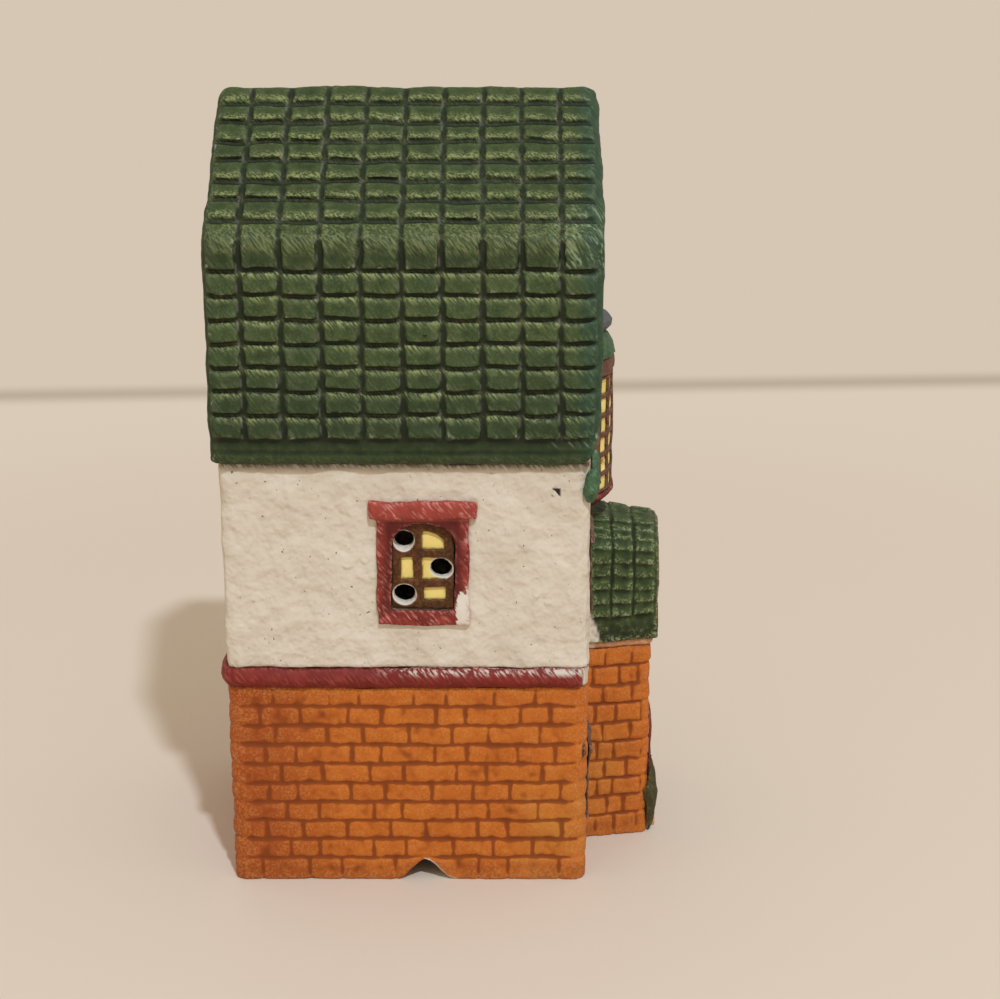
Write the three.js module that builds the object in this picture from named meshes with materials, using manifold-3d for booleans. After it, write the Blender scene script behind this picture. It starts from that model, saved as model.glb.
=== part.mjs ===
// A Christmas village hotel: a hand-painted porcelain house about 13 cm tall, slip-cast as a hollow
// shell that is open underneath, so that it stands over a small lamp. The mouldings are cast apart
// and luted to the shell with slip. Millimetres, +Z up, and the street front faces -Y.

import * as THREE from "three";
import { mergeVertices } from "three/addons/utils/BufferGeometryUtils.js";
import Module from "manifold-3d";

const wasm = await Module();
wasm.setup();

// The shell
const HOUSE_WIDTH = 50;
const HOUSE_DEPTH = 59.2;
const WALL = 3;
const CORNER_RADIUS = 1.8;
const BRICK_STOREY_HEIGHT = 34.8;
const BAND_HEIGHT = 3.4;
const BAND_PROUD = 1.1;
const BAND_STOP = 1.2;
const STUCCO_STOREY_HEIGHT = 34.6;

// Clearance between pieces that are cut to each other and luted with slip
const LUTING_GAP = 0.3;

// The arched notch in the foot of the left wall, where a lamp's lead comes out
const NOTCH_WIDTH = 9.6;
const NOTCH_HEIGHT = 3.6;
const NOTCH_TOWARDS_FRONT = 2.6;

// Brickwork
const LOWEST_COURSE = 4.1;
const HOUSE_COURSES = 10;
const PORCH_COURSES = 10;
const BRICK_LENGTH = 6.8;
const PORCH_BRICK_LENGTH = 4.4;
const MORTAR_WIDTH = 0.8;
const MORTAR_DEPTH = 0.5;
const PERPEND_DEPTH = 0.44;
const BRICK_WANDER = 0.16;

// The gambrel roof
const ROOF_SIDE_OVERHANG = 2;
const ROOF_FRONT_OVERHANG = 1.6;
const ROOF_BACK_OVERHANG = 0.9;
const ROOF_END_CHAMFER = 1.2;
const EAVE_CUT = 2.2;
const EAVE_CUT_HEIGHT = 6;
const ROOF_THICKNESS = 3;
const FASCIA_HEIGHT = 4.6;
const FASCIA_CHAMFER = 1;
const FASCIA_GROOVE_HEIGHT = 2.2;
const FASCIA_GROOVE_DEPTH = 0.35;
const STEEP_SLOPE_HEIGHT = 36;
const RIDGE_RISE = 20;
const ROOF_SEAT_HEIGHT = 2.5;

// Its tiles
const TILE_COLUMNS = 10;
const STEEP_ROWS = 7;
const SHALLOW_ROWS = 7;
const BREAK_TILE_DROP = 5;
const BREAK_TILE_TURN = 3.4;
const TILE_LIP = 0.8;
const TILE_HEAD = 0.3;
const TILE_STEP = 0.1;
const TILE_GROOVE = 1.1;
const TILE_BED = 0.3;
const TILE_WANDER = 0.16;
const BACK_VERGE = 0.7;
const FRONT_VERGE = 1.4;

// Windows: three panes high and two wide under a low arch
const SIDE_GLASS_WIDTH = 9.9;
const SIDE_GLASS_HEIGHT = 14.6;
const SIDE_JAMB = 2.5;
const SIDE_EAR = 1.25;
const SIDE_BAR = 1.45;
const SIDE_MULLION_TO_LEFT = 0.7;
const SIDE_HOLE = 3.4;
const SIDE_WINDOW_TOWARDS_FRONT = 2.8;
const SIDE_LINTEL_HEIGHT = 3;
const SIDE_SILL_HEIGHT = 2.8;
const SIDE_SURROUND_PROUD = 0.9;
const FRONT_GLASS_HEIGHT = 10.2;
const FRONT_JAMB = 1.6;
const FRONT_EAR = 0.6;
const FRONT_BAR = 0.7;
const FRONT_HOLE = 2;
const FRONT_LINTEL_HEIGHT = 1.7;
const FRONT_SILL_HEIGHT = 1.4;
const FRONT_SURROUND_PROUD = 0.45;
const FRONT_WINDOW_MARGIN = 0.5;
const SIDE_SILL_ABOVE_BAND = 10.3;
const FRONT_UPPER_SILL_ABOVE_BAND = 9.6;
const FRONT_LOWER_SILL = 11;
const ARCH_RISE = 0.36;
const LINTEL_ABOVE_GLASS = 0.6;
const LINTEL_BEYOND_SURROUND = 0.35;
const SURROUND_CHAMFER = 0.35;
const HOLE_RIM = 0.25;
const PANE_RECESS = 0.7;
const SASH_RECESS = 0.1;

// The bow window over the porch, whose rows of panes run up into the gable
const BAY_HALF_WIDTH = 9.2;
const BAY_PROJECTION = 4.1;
const BAY_GLASS_HEIGHT = 20;
const BAY_ABOVE_PORCH = 2.2;
const BAY_SHELL = 1.6;
const BAY_BAR = 0.8;
const BAY_BAR_PROUD = 0.35;
const BAY_ROWS = 6;
const BAY_COLUMNS = 7;
const BAY_HOLE = 2;
const BAY_CORBEL_HEIGHT = 2.8;
const BAY_CORBEL_TAPER = 1.9;
const BAY_TRIM_PROUD = 0.6;
const BAY_JAMB_WIDTH = 1.3;
const BAY_JAMB_PROUD = 1.8;
const BAY_HEAD_HEIGHT = 2.9;
const BAY_HOOD_HEIGHT = 3.3;
const BAY_HOOD_TAPER = 1.2;
const BAY_CAP_HEIGHT = 4;
const BAY_CAP_RADIUS = 4.3;

// The porch, which narrows towards the street
const PORCH_HALF_AT_WALL = 9.6;
const PORCH_HALF_AT_FRONT = 7.4;
const PORCH_PROJECTION = 11.4;
const PORCH_WALL = 2.4;
const PORCH_CORNER_RADIUS = 1.4;
const PORCH_ABOVE_BRICK_STOREY = 0.6;
const PORCH_BAND_HEIGHT = 1.4;
const PORCH_BAND_PROUD = 0.4;

// Its roof: upright tiled flanks under a low crown that falls towards the street
const PORCH_ROOF_HEIGHT = 20.8;
const PORCH_ROOF_FALL = 1.6;
const PORCH_ROOF_OVERHANG = 1.1;
const PORCH_ROOF_THICKNESS = 2.2;
const PORCH_TILE_ROWS = 5;
const PORCH_CROWN_ROWS = 4;
const PORCH_TILE_COLUMNS = 3;
const PORCH_TILE_LIP = 0.45;
const PORCH_TILE_HEAD = 0.12;
const PORCH_TILE_GROOVE = 0.6;
const PORCH_FASCIA = 4.7;
const PORCH_CROWN = 3.6;
const PORCH_VERGE = 0.9;
const PORCH_GABLE_THICKNESS = 2;

// The door
const DOOR_WIDTH = 6.2;
const DOOR_HEIGHT = 18.5;
const DOOR_SURROUND_WIDTH = 1.5;
const DOOR_SURROUND_PROUD = 0.6;
const DOOR_STEP_HEIGHT = 2;
const DOOR_STEP_DEPTH = 1.6;
const DOOR_STEP_NOSING = 0.4;
const DOOR_RECESS = 0.8;
const DOOR_PLANKS = 4;
const DOOR_PLANK_GROOVE = 0.35;
const DOOR_KNOB_RADIUS = 0.6;
const DOOR_KNOB_INSET = 1.1;
const DOOR_KNOB_HEIGHT = 7.4;

// Evergreens
const BUSH_HEIGHT = 15.8;
const BUSH_RADIUS = 1.8;
const BUSH_INSET = 1.3;
const GARLAND_RADIUS = 1.1;
const GARLAND_SAG = 3;
const GARLAND_BELOW_EAVE = 1.8;
const GARLAND_TAIL_LENGTH = 6.6;
const GARLAND_TAIL_RADIUS = 1.4;
const GARLAND_TAIL_LEAN = 0.8;
const WREATH_RADIUS = 1.9;
const WREATH_ROPE = 0.6;
const WREATH_HEIGHT = 12.2;

// Facets
const ARCH_STEPS = 7;
const HOLE_STEPS = 10;

// Heights and faces that follow from the sizes above
const BAND_BOTTOM = BRICK_STOREY_HEIGHT;
const BAND_TOP = BAND_BOTTOM + BAND_HEIGHT;
const EAVE = BAND_TOP + STUCCO_STOREY_HEIGHT;
const SIDE_FACE = HOUSE_WIDTH / 2;
const FRONT_FACE = -HOUSE_DEPTH / 2;
const BACK_FACE = HOUSE_DEPTH / 2;
const STREET_FACE = FRONT_FACE - PORCH_PROJECTION;
const PORCH_BRICK_HEIGHT = BRICK_STOREY_HEIGHT + PORCH_ABOVE_BRICK_STOREY;
const PORCH_ROOF_FOOT = PORCH_BRICK_HEIGHT + PORCH_BAND_HEIGHT;
const BAY_FOOT = PORCH_ROOF_FOOT + PORCH_ROOF_HEIGHT + BAY_ABOVE_PORCH + BAY_CORBEL_HEIGHT;
const BAY_GLASS_TOP = BAY_FOOT + BAY_GLASS_HEIGHT;

// Paints over white bisque porcelain
const paint = (color, roughness) => new THREE.MeshStandardMaterial({ color, roughness, metalness: 0 });
const BRICK_PAINT = paint(0xb0622a, 0.6);
const STUCCO_PAINT = paint(0xe4ddcc, 0.65);
const RED_PAINT = paint(0x8e2f31, 0.5);
const ROOF_PAINT = paint(0x3c5633, 0.5);
const SASH_PAINT = paint(0x6a4a36, 0.6);
const PANE_PAINT = paint(0xe8cf6a, 0.5);
const PEACH_PAINT = paint(0xc98b5c, 0.6);
const DOOR_PAINT = paint(0x5a3a26, 0.55);
const LEAF_PAINT = paint(0x2f7a52, 0.5);
const BUSH_PAINT = paint(0x50502f, 0.6);
const CAP_PAINT = paint(0x77706f, 0.6);
const BRASS_PAINT = paint(0xc9a24a, 0.4);

// A closed geometry as a solid that can be cut and joined
function solidOf(geometry) {
  const loose = geometry.index ? geometry.toNonIndexed() : geometry.clone();
  loose.deleteAttribute("normal");
  loose.deleteAttribute("uv");
  const merged = mergeVertices(loose, 1e-4);
  const vertProperties = new Float32Array(merged.getAttribute("position").array);
  const triVerts = new Uint32Array(merged.index.array);
  return new wasm.Manifold(new wasm.Mesh({ numProp: 3, vertProperties, triVerts }));
}

// A solid's surface as a geometry again
function geometryOf(solid) {
  const mesh = solid.getMesh();
  const positions = new Float32Array(mesh.numVert * 3);
  for (let i = 0; i < mesh.numVert; i++) {
    positions.set(mesh.vertProperties.subarray(i * mesh.numProp, i * mesh.numProp + 3), i * 3);
  }
  const geometry = new THREE.BufferGeometry();
  geometry.setAttribute("position", new THREE.BufferAttribute(positions, 3));
  geometry.setIndex(new THREE.BufferAttribute(new Uint32Array(mesh.triVerts), 1));
  const flat = geometry.toNonIndexed();
  flat.computeVertexNormals();
  return flat;
}

function piece(name, solid, material) {
  const mesh = new THREE.Mesh(geometryOf(solid), material);
  mesh.name = name;
  return mesh;
}

const unite = (solids) => wasm.Manifold.union(solids);
const mirrored = (half) => half.map(([across, up]) => [-across, up]);

// A right-hand half outline, from its foot to the middle line, made whole
const bothHalves = (half) => [...half, ...mirrored(half).reverse().slice(1)];

// A [across, up] outline swept straight
function sweep(outline, from, to) {
  const shape = new THREE.Shape(outline.map(([across, up]) => new THREE.Vector2(across, up)));
  const swept = new THREE.ExtrudeGeometry(shape, { depth: to - from, bevelEnabled: false });
  return swept.translate(0, 0, from);
}

// An [x, y] outline that stands along Z, a [y, z] outline that lies along X, and an [x, z] outline
// that lies along Y, whose sweep runs from the far end back
const ALONG_X = new THREE.Matrix4().set(0, 0, 1, 0, 1, 0, 0, 0, 0, 1, 0, 0, 0, 0, 0, 1);
const ALONG_Y = new THREE.Matrix4().set(1, 0, 0, 0, 0, 0, -1, 0, 0, 1, 0, 0, 0, 0, 0, 1);
const prismZ = (outline, from, to) => solidOf(sweep(outline, from, to));
const prismX = (outline, from, to) => solidOf(sweep(outline, from, to).applyMatrix4(ALONG_X));
const prismY = (outline, from, to) => solidOf(sweep(outline, -to, -from).applyMatrix4(ALONG_Y));

// A skin over outlines that all have the same number of points, stacked along Z
function stack(levels) {
  const count = levels[0].outline.length;
  const positions = levels.flatMap(({ at, outline }) => outline.flatMap(([x, y]) => [x, y, at]));
  const index = [];
  for (let level = 0; level + 1 < levels.length; level++) {
    for (let i = 0; i < count; i++) {
      const next = (i + 1) % count;
      const low = level * count;
      const high = low + count;
      index.push(low + i, low + next, high + next, low + i, high + next, high + i);
    }
  }
  const flat = (outline) => outline.map(([x, y]) => new THREE.Vector2(x, y));
  const top = (levels.length - 1) * count;
  for (const [a, b, c] of THREE.ShapeUtils.triangulateShape(flat(levels[0].outline), [])) {
    index.push(a, c, b);
  }
  for (const [a, b, c] of THREE.ShapeUtils.triangulateShape(flat(levels.at(-1).outline), [])) {
    index.push(top + a, top + b, top + c);
  }
  const geometry = new THREE.BufferGeometry();
  geometry.setAttribute("position", new THREE.Float32BufferAttribute(positions, 3));
  geometry.setIndex(index);
  return geometry;
}

const loftZ = (levels) => solidOf(stack(levels));

// The same along -Y, for [x, z] outlines whose places are given as y, from the wall outwards
const loftY = (levels) =>
  solidOf(stack(levels.map(({ at, outline }) => ({ at: -at, outline }))).applyMatrix4(ALONG_Y));

// A block that fills the space in front of the plane y = 0
function spaceInFront() {
  const size = 4 * HOUSE_DEPTH;
  return solidOf(new THREE.BoxGeometry(size, size, size).translate(0, -size / 2, 0));
}

// Where two lines, each given by a point and a direction, cross
function crossing(a, b) {
  const across = a.dx * b.dy - a.dy * b.dx;
  const reach = ((b.x - a.x) * b.dy - (b.y - a.y) * b.dx) / across;
  return [a.x + a.dx * reach, a.y + a.dy * reach];
}

// The plan of something that stands against the house's front: a line of [x, y] from its left end
// to its right end, moved outwards by "grow" and closed along the house's face, or "back" behind it
function frontPlan(line, grow = 0, back = 0) {
  const edges = line.slice(1).map(([bx, by], i) => {
    const [ax, ay] = line[i];
    const length = Math.hypot(bx - ax, by - ay);
    const outX = (by - ay) / length;
    const outY = -(bx - ax) / length;
    return { x: ax + outX * grow, y: ay + outY * grow, dx: bx - ax, dy: by - ay };
  });
  const face = { x: 0, y: FRONT_FACE + back, dx: 1, dy: 0 };
  const around = [face, ...edges, face];
  return around.slice(1).map((edge, i) => crossing(around[i], edge));
}

// A strip in plan along the edge from "start" to "end", whose outer side is on its right
function strip(start, end, margin, inwards, outwards) {
  const length = Math.hypot(end[0] - start[0], end[1] - start[1]);
  const along = [(end[0] - start[0]) / length, (end[1] - start[1]) / length];
  const at = (distance, out) => [
    start[0] + along[0] * distance + along[1] * out,
    start[1] + along[1] * distance - along[0] * out,
  ];
  return [
    at(margin, outwards),
    at(length - margin, outwards),
    at(length - margin, -inwards),
    at(margin, -inwards),
  ];
}

// A rectangle with rounded corners, grown outwards by "grow"
function roundedRectangle(halfX, halfY, radius, grow = 0, steps = 2) {
  const points = [];
  for (let quarter = 0; quarter < 4; quarter++) {
    const signX = quarter === 0 || quarter === 3 ? 1 : -1;
    const signY = quarter < 2 ? 1 : -1;
    for (let i = 0; i <= steps; i++) {
      const angle = ((quarter + i / steps) * Math.PI) / 2;
      points.push([
        signX * (halfX - radius) + (radius + grow) * Math.cos(angle),
        signY * (halfY - radius) + (radius + grow) * Math.sin(angle),
      ]);
    }
  }
  return points;
}

// A steady scatter between -1 and 1 that gives hand-laid bricks and tiles their uneven sizes
const scatter = (a, b) => Math.sin(12.9898 * a + 78.233 * b + 1.7);

const housePlan = (grow = 0) => roundedRectangle(SIDE_FACE, BACK_FACE, CORNER_RADIUS, grow);
const lampSpace = roundedRectangle(SIDE_FACE - WALL, BACK_FACE - WALL, CORNER_RADIUS / 2, 0, 1);

// The heights of a wall's bed joints, one over each course but the highest
function bedJoints(height, courses) {
  const pitch = (height - LOWEST_COURSE) / (courses - 1);
  return Array.from({ length: courses - 1 }, (_, course) => LOWEST_COURSE + course * pitch);
}

// A wall's outer form: brick courses parted by V-shaped bed joints
function coursedBlock(plan, height, courses) {
  const levels = [{ at: 0, outline: plan(0) }];
  for (const joint of bedJoints(height, courses)) {
    levels.push({ at: joint - MORTAR_WIDTH / 2, outline: plan(0) });
    levels.push({ at: joint, outline: plan(-MORTAR_DEPTH) });
    levels.push({ at: joint + MORTAR_WIDTH / 2, outline: plan(0) });
  }
  levels.push({ at: height, outline: plan(0) });
  return loftZ(levels);
}

// The upright joints between the bricks of one straight run of wall, as V-shaped cutters. The
// wall's outer side is on the right of the run.
function perpends(start, end, height, courses, brick) {
  const length = Math.hypot(end[0] - start[0], end[1] - start[1]);
  const out = [(end[1] - start[1]) / length, -(end[0] - start[0]) / length];
  const clear = 0.5;
  const half = ((MORTAR_WIDTH / 2) * (PERPEND_DEPTH + clear)) / PERPEND_DEPTH;
  const count = Math.max(1, Math.round(length / brick));
  const beds = [0, ...bedJoints(height, courses), height];
  const cutters = [];
  for (let course = 0; course < courses; course++) {
    for (let at = course % 2 ? 1 : 0.5; at < count; at++) {
      const wander = BRICK_WANDER * scatter(course + start[0], at + start[1]);
      const share = (at + wander) / count;
      const x = start[0] + (end[0] - start[0]) * share;
      const y = start[1] + (end[1] - start[1]) * share;
      const wedge = [
        [x - out[0] * PERPEND_DEPTH, y - out[1] * PERPEND_DEPTH],
        [x + out[1] * half + out[0] * clear, y - out[0] * half + out[1] * clear],
        [x - out[1] * half + out[0] * clear, y + out[0] * half + out[1] * clear],
      ];
      cutters.push(prismZ(wedge, beds[course], beds[course + 1]));
    }
  }
  return cutters;
}

// One wave of a cosine, as high as the notch in its middle and flat at its ends
function leadNotch() {
  const steps = 12;
  const below = 1;
  const outline = [];
  for (let i = 0; i <= steps; i++) {
    const share = i / steps - 0.5;
    const height = (NOTCH_HEIGHT * (1 + Math.cos(2 * Math.PI * share))) / 2;
    outline.push([-share * NOTCH_WIDTH - NOTCH_TOWARDS_FRONT, height]);
  }
  outline.push([-NOTCH_WIDTH / 2 - NOTCH_TOWARDS_FRONT, -below]);
  outline.push([NOTCH_WIDTH / 2 - NOTCH_TOWARDS_FRONT, -below]);
  return prismX(outline, -SIDE_FACE - below, -SIDE_FACE + WALL + below);
}

// The brick ground storey: four walls round the lamp space, with the notch for a lead
function groundStorey() {
  const endX = SIDE_FACE - CORNER_RADIUS;
  const endY = BACK_FACE - CORNER_RADIUS;
  const runs = [
    [[-endX, FRONT_FACE], [-PORCH_HALF_AT_WALL, FRONT_FACE]],
    [[PORCH_HALF_AT_WALL, FRONT_FACE], [endX, FRONT_FACE]],
    [[SIDE_FACE, -endY], [SIDE_FACE, endY]],
    [[endX, BACK_FACE], [-endX, BACK_FACE]],
    [[-SIDE_FACE, endY], [-SIDE_FACE, -endY]],
  ];
  const joints = runs.flatMap(([start, end]) =>
    perpends(start, end, BRICK_STOREY_HEIGHT, HOUSE_COURSES, BRICK_LENGTH),
  );
  const cuts = [
    ...joints,
    prismZ(lampSpace, -1, BRICK_STOREY_HEIGHT + 1),
    leadNotch(),
    frontOpening(frontLowerWindow, -1),
    frontOpening(frontLowerWindow, 1),
  ];
  return coursedBlock(housePlan, BRICK_STOREY_HEIGHT, HOUSE_COURSES).subtract(unite(cuts));
}

// The round-nosed band between the storeys, which stops at the street corners and is flush with the
// wall on the street front
function stringCourse() {
  const steps = 4;
  const levels = [];
  for (let i = 0; i <= steps; i++) {
    const share = i / steps;
    const nose = 0.3 + 0.7 * Math.sin(Math.PI * share);
    levels.push({ at: BAND_BOTTOM + share * BAND_HEIGHT, outline: housePlan(nose * BAND_PROUD) });
  }
  const whole = loftZ(levels);
  const street = whole.intersect(spaceInFront().translate([0, FRONT_FACE + BAND_STOP, 0]));
  const proud = street.subtract(prismZ(housePlan(), BAND_BOTTOM - 1, BAND_TOP + 1));
  return whole.subtract(proud).subtract(prismZ(lampSpace, BAND_BOTTOM - 1, BAND_TOP + 1));
}

// The gambrel's section: a steep slope, then a shallow one to the ridge
const roofHalfWidth = SIDE_FACE + ROOF_SIDE_OVERHANG;
const breakHeight = EAVE + STEEP_SLOPE_HEIGHT;
const ridgeHeight = breakHeight + RIDGE_RISE;
const shallowAngle = Math.atan2(RIDGE_RISE, roofHalfWidth);
const shallowLength = Math.hypot(RIDGE_RISE, roofHalfWidth);

// The roof's inner line, from its seat on the wall to the ridge, drawn in by "gap"
function roofUnderside(gap = 0, foot = EAVE) {
  const x = roofHalfWidth - ROOF_THICKNESS - gap;
  const ridge = ridgeHeight - (ROOF_THICKNESS + gap) / Math.cos(shallowAngle);
  const seat = SIDE_FACE - WALL - gap;
  const ledge = EAVE + ROOF_SEAT_HEIGHT;
  return [
    [seat, foot],
    [seat, ledge],
    [x, ledge + (x - seat)],
    [x, ridge - x * Math.tan(shallowAngle)],
    [0, ridge],
  ];
}

// The plain shell under the tiles, with a groove along its fascia and softened ends
function roofShell() {
  const groove = EAVE + FASCIA_GROOVE_HEIGHT;
  const inner = roofUnderside();
  const section = (inset) => {
    const half = roofHalfWidth - inset;
    const outer = [
      [half - FASCIA_CHAMFER, EAVE],
      [half, EAVE + FASCIA_CHAMFER],
      [half, groove - FASCIA_GROOVE_DEPTH],
      [half - FASCIA_GROOVE_DEPTH, groove],
      [half, groove + FASCIA_GROOVE_DEPTH],
      [half, breakHeight - inset * Math.tan(shallowAngle / 2)],
      [0, ridgeHeight - inset / Math.cos(shallowAngle)],
    ];
    return [...bothHalves(outer), ...mirrored(inner), ...inner.slice(0, -1).reverse()];
  };
  const front = FRONT_FACE - ROOF_FRONT_OVERHANG;
  const back = BACK_FACE + ROOF_BACK_OVERHANG;
  return loftY([
    { at: back, outline: section(ROOF_END_CHAMFER) },
    { at: back - ROOF_END_CHAMFER, outline: section(0) },
    { at: front + ROOF_END_CHAMFER, outline: section(0) },
    { at: front, outline: section(ROOF_END_CHAMFER) },
  ]);
}

// What is cut from the street end of the eaves, so that they die into the wall's corner
function eaveCut() {
  const front = FRONT_FACE - ROOF_FRONT_OVERHANG;
  const cut = [[front - EAVE_CUT, EAVE - 1], [front + EAVE_CUT, EAVE - 1]];
  cut.push([front + EAVE_CUT, EAVE], [front - EAVE_CUT, EAVE + 2 * EAVE_CUT_HEIGHT]);
  return prismX(cut, -2 * roofHalfWidth, 2 * roofHalfWidth);
}

// One column's tile line: each row's lower edge stands out over the head of the row below it, and
// one long tile bends over the break between the slopes
function tileLine(column) {
  const onSlope = (distance, proud) => [
    roofHalfWidth - distance * Math.cos(shallowAngle) + proud * Math.sin(shallowAngle),
    breakHeight + distance * Math.sin(shallowAngle) + proud * Math.cos(shallowAngle),
  ];
  const steepFoot = EAVE + FASCIA_HEIGHT;
  const steepTop = breakHeight - BREAK_TILE_DROP;
  const steepPitch = (steepTop - steepFoot) / STEEP_ROWS;
  const shallowPitch = (shallowLength - BREAK_TILE_TURN) / SHALLOW_ROWS;
  const line = [[roofHalfWidth, steepFoot]];
  for (let row = 0; row <= STEEP_ROWS; row++) {
    const foot = steepFoot + row * steepPitch + TILE_WANDER * scatter(row, column);
    if (row > 0) line.push([roofHalfWidth + TILE_HEAD, foot]);
    line.push([roofHalfWidth + TILE_LIP, foot + TILE_STEP]);
  }
  line.push([roofHalfWidth + TILE_LIP, breakHeight]);
  for (let row = 0; row < SHALLOW_ROWS; row++) {
    const foot = BREAK_TILE_TURN + row * shallowPitch + TILE_WANDER * scatter(column, row);
    line.push(onSlope(foot, TILE_HEAD));
    line.push(onSlope(foot + TILE_STEP, TILE_LIP));
  }
  line.push([0, ridgeHeight + TILE_HEAD / Math.cos(shallowAngle)]);
  return line;
}

// The main roof: the shell, with its columns of tiles over both slopes
function mainRoof() {
  const bed = [
    [-roofHalfWidth + TILE_BED, EAVE + FASCIA_HEIGHT],
    [-roofHalfWidth + TILE_BED, breakHeight - TILE_BED],
    [0, ridgeHeight - 2 * TILE_BED],
    [roofHalfWidth - TILE_BED, breakHeight - TILE_BED],
    [roofHalfWidth - TILE_BED, EAVE + FASCIA_HEIGHT],
  ];
  const first = FRONT_FACE - ROOF_FRONT_OVERHANG + FRONT_VERGE;
  const last = BACK_FACE + ROOF_BACK_OVERHANG - BACK_VERGE;
  const pitch = (last - first + TILE_GROOVE) / TILE_COLUMNS;
  const edge = (column) => {
    const isInner = column > 0 && column < TILE_COLUMNS;
    return first + column * pitch + (isInner ? 2 * TILE_WANDER * scatter(column, 3) : 0);
  };
  const columns = [];
  for (let column = 0; column < TILE_COLUMNS; column++) {
    const section = [...bothHalves(tileLine(column)), ...bed];
    columns.push(prismY(section, edge(column), edge(column + 1) - TILE_GROOVE));
  }
  return unite([roofShell(), ...columns]).subtract(eaveCut());
}

// An opening under a low arch, standing on z = 0 and grown outwards by "grow"
function archOutline(width, height, grow = 0) {
  const half = width / 2 + grow;
  const rise = ARCH_RISE * width;
  const outline = [[-half, -grow], [half, -grow]];
  for (let i = 0; i <= ARCH_STEPS; i++) {
    const angle = (i / ARCH_STEPS) * Math.PI;
    outline.push([half * Math.cos(angle), height - rise + (rise + grow) * Math.sin(angle)]);
  }
  return outline;
}

// The bow window's plan: a half ellipse of flat facets, one for each column of panes
const bayLine = [];
for (let i = 0; i <= BAY_COLUMNS; i++) {
  const angle = (Math.PI * i) / BAY_COLUMNS;
  const depth = BAY_PROJECTION / Math.cos(Math.PI / (2 * BAY_COLUMNS));
  bayLine.push([-BAY_HALF_WIDTH * Math.cos(angle), FRONT_FACE - depth * Math.sin(angle)]);
}
const bayPlan = (grow = 0, back = 0) => frontPlan(bayLine, grow, back);
const halfAtWall = (plan) => -plan[0][0];

// The porch and the bow's jambs leave this much wall for the front windows
const bayOuter = halfAtWall(bayPlan(BAY_BAR_PROUD)) + LUTING_GAP + BAY_JAMB_WIDTH;
const porchOuter = PORCH_HALF_AT_WALL + PORCH_ROOF_OVERHANG + PORCH_TILE_LIP;
const frontWallFrom = Math.max(bayOuter, porchOuter);
const frontWallTo = SIDE_FACE - CORNER_RADIUS;
const frontWindowCentre = (frontWallFrom + frontWallTo) / 2;
const frontWindowOuter = frontWallTo - frontWallFrom - 2 * FRONT_WINDOW_MARGIN;

// Every window is drawn facing -Y, with its glass standing on z = 0 and the wall's face on y = 0
const sideWindow = {
  width: SIDE_GLASS_WIDTH,
  height: SIDE_GLASS_HEIGHT,
  jamb: SIDE_JAMB,
  ear: SIDE_EAR,
  lintel: SIDE_LINTEL_HEIGHT,
  base: SIDE_SILL_HEIGHT,
  proud: SIDE_SURROUND_PROUD,
  bar: SIDE_BAR,
  mullion: -SIDE_MULLION_TO_LEFT,
  hole: SIDE_HOLE,
  sill: BAND_TOP + SIDE_SILL_ABOVE_BAND,
};
const frontUpperWindow = {
  width: frontWindowOuter - 2 * (FRONT_JAMB + FRONT_EAR),
  height: FRONT_GLASS_HEIGHT,
  jamb: FRONT_JAMB,
  ear: FRONT_EAR,
  lintel: FRONT_LINTEL_HEIGHT,
  base: FRONT_SILL_HEIGHT,
  proud: FRONT_SURROUND_PROUD,
  bar: FRONT_BAR,
  mullion: 0,
  hole: FRONT_HOLE,
  sill: BAND_TOP + FRONT_UPPER_SILL_ABOVE_BAND,
};
const frontLowerWindow = { ...frontUpperWindow, sill: FRONT_LOWER_SILL };

// The transoms' and the pierced holes' places up the glass, from its foot to its crown
const TRANSOM_SHARES = [0.29, 0.64];
const HOLE_SHARES = [0.16, 0.47, 0.79];

const opening = ({ width, height }) => prismY(archOutline(width, height, LUTING_GAP), -1, WALL + 1);

const frontOpening = (window, side) =>
  opening(window).translate([side * frontWindowCentre, FRONT_FACE, window.sill]);

// Holes through the panes that let the lamp's light out, each given as a side and a row. They bite
// deep into the border.
function piercings({ width, height, hole }, places) {
  const offset = width / 2 - hole / 2 - HOLE_RIM;
  const drills = places.map(([side, row]) => {
    const drill = new THREE.CylinderGeometry(hole / 2, hole / 2, 3 * WALL, HOLE_STEPS);
    return solidOf(drill).translate([side * offset, WALL, HOLE_SHARES[row] * height]);
  });
  return unite(drills);
}

const windowPanes = (window, places) =>
  prismY(archOutline(window.width, window.height), PANE_RECESS, WALL).subtract(piercings(window, places));

// The glazing bars: a border, one mullion and two transoms, standing on the panes
function windowSash(window, places) {
  const { width, height, bar, mullion } = window;
  const inner = archOutline(width - 2 * bar, height - 2 * bar).map(([x, z]) => [x, z + bar]);
  const whole = prismY(archOutline(width, height), SASH_RECESS, PANE_RECESS);
  const half = bar / 2;
  const post = [[-half, 0], [half, 0], [half, height], [-half, height]];
  const bars = [prismY(post, 0, PANE_RECESS).translate([mullion, 0, 0])];
  for (const share of TRANSOM_SHARES) {
    const z = share * height;
    const transom = [[-width, z - half], [width, z - half], [width, z + half], [-width, z + half]];
    bars.push(prismY(transom, 0, PANE_RECESS));
  }
  const border = whole.subtract(prismY(inner, -1, WALL));
  return border.add(unite(bars).intersect(whole)).subtract(piercings(window, places));
}

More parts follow.
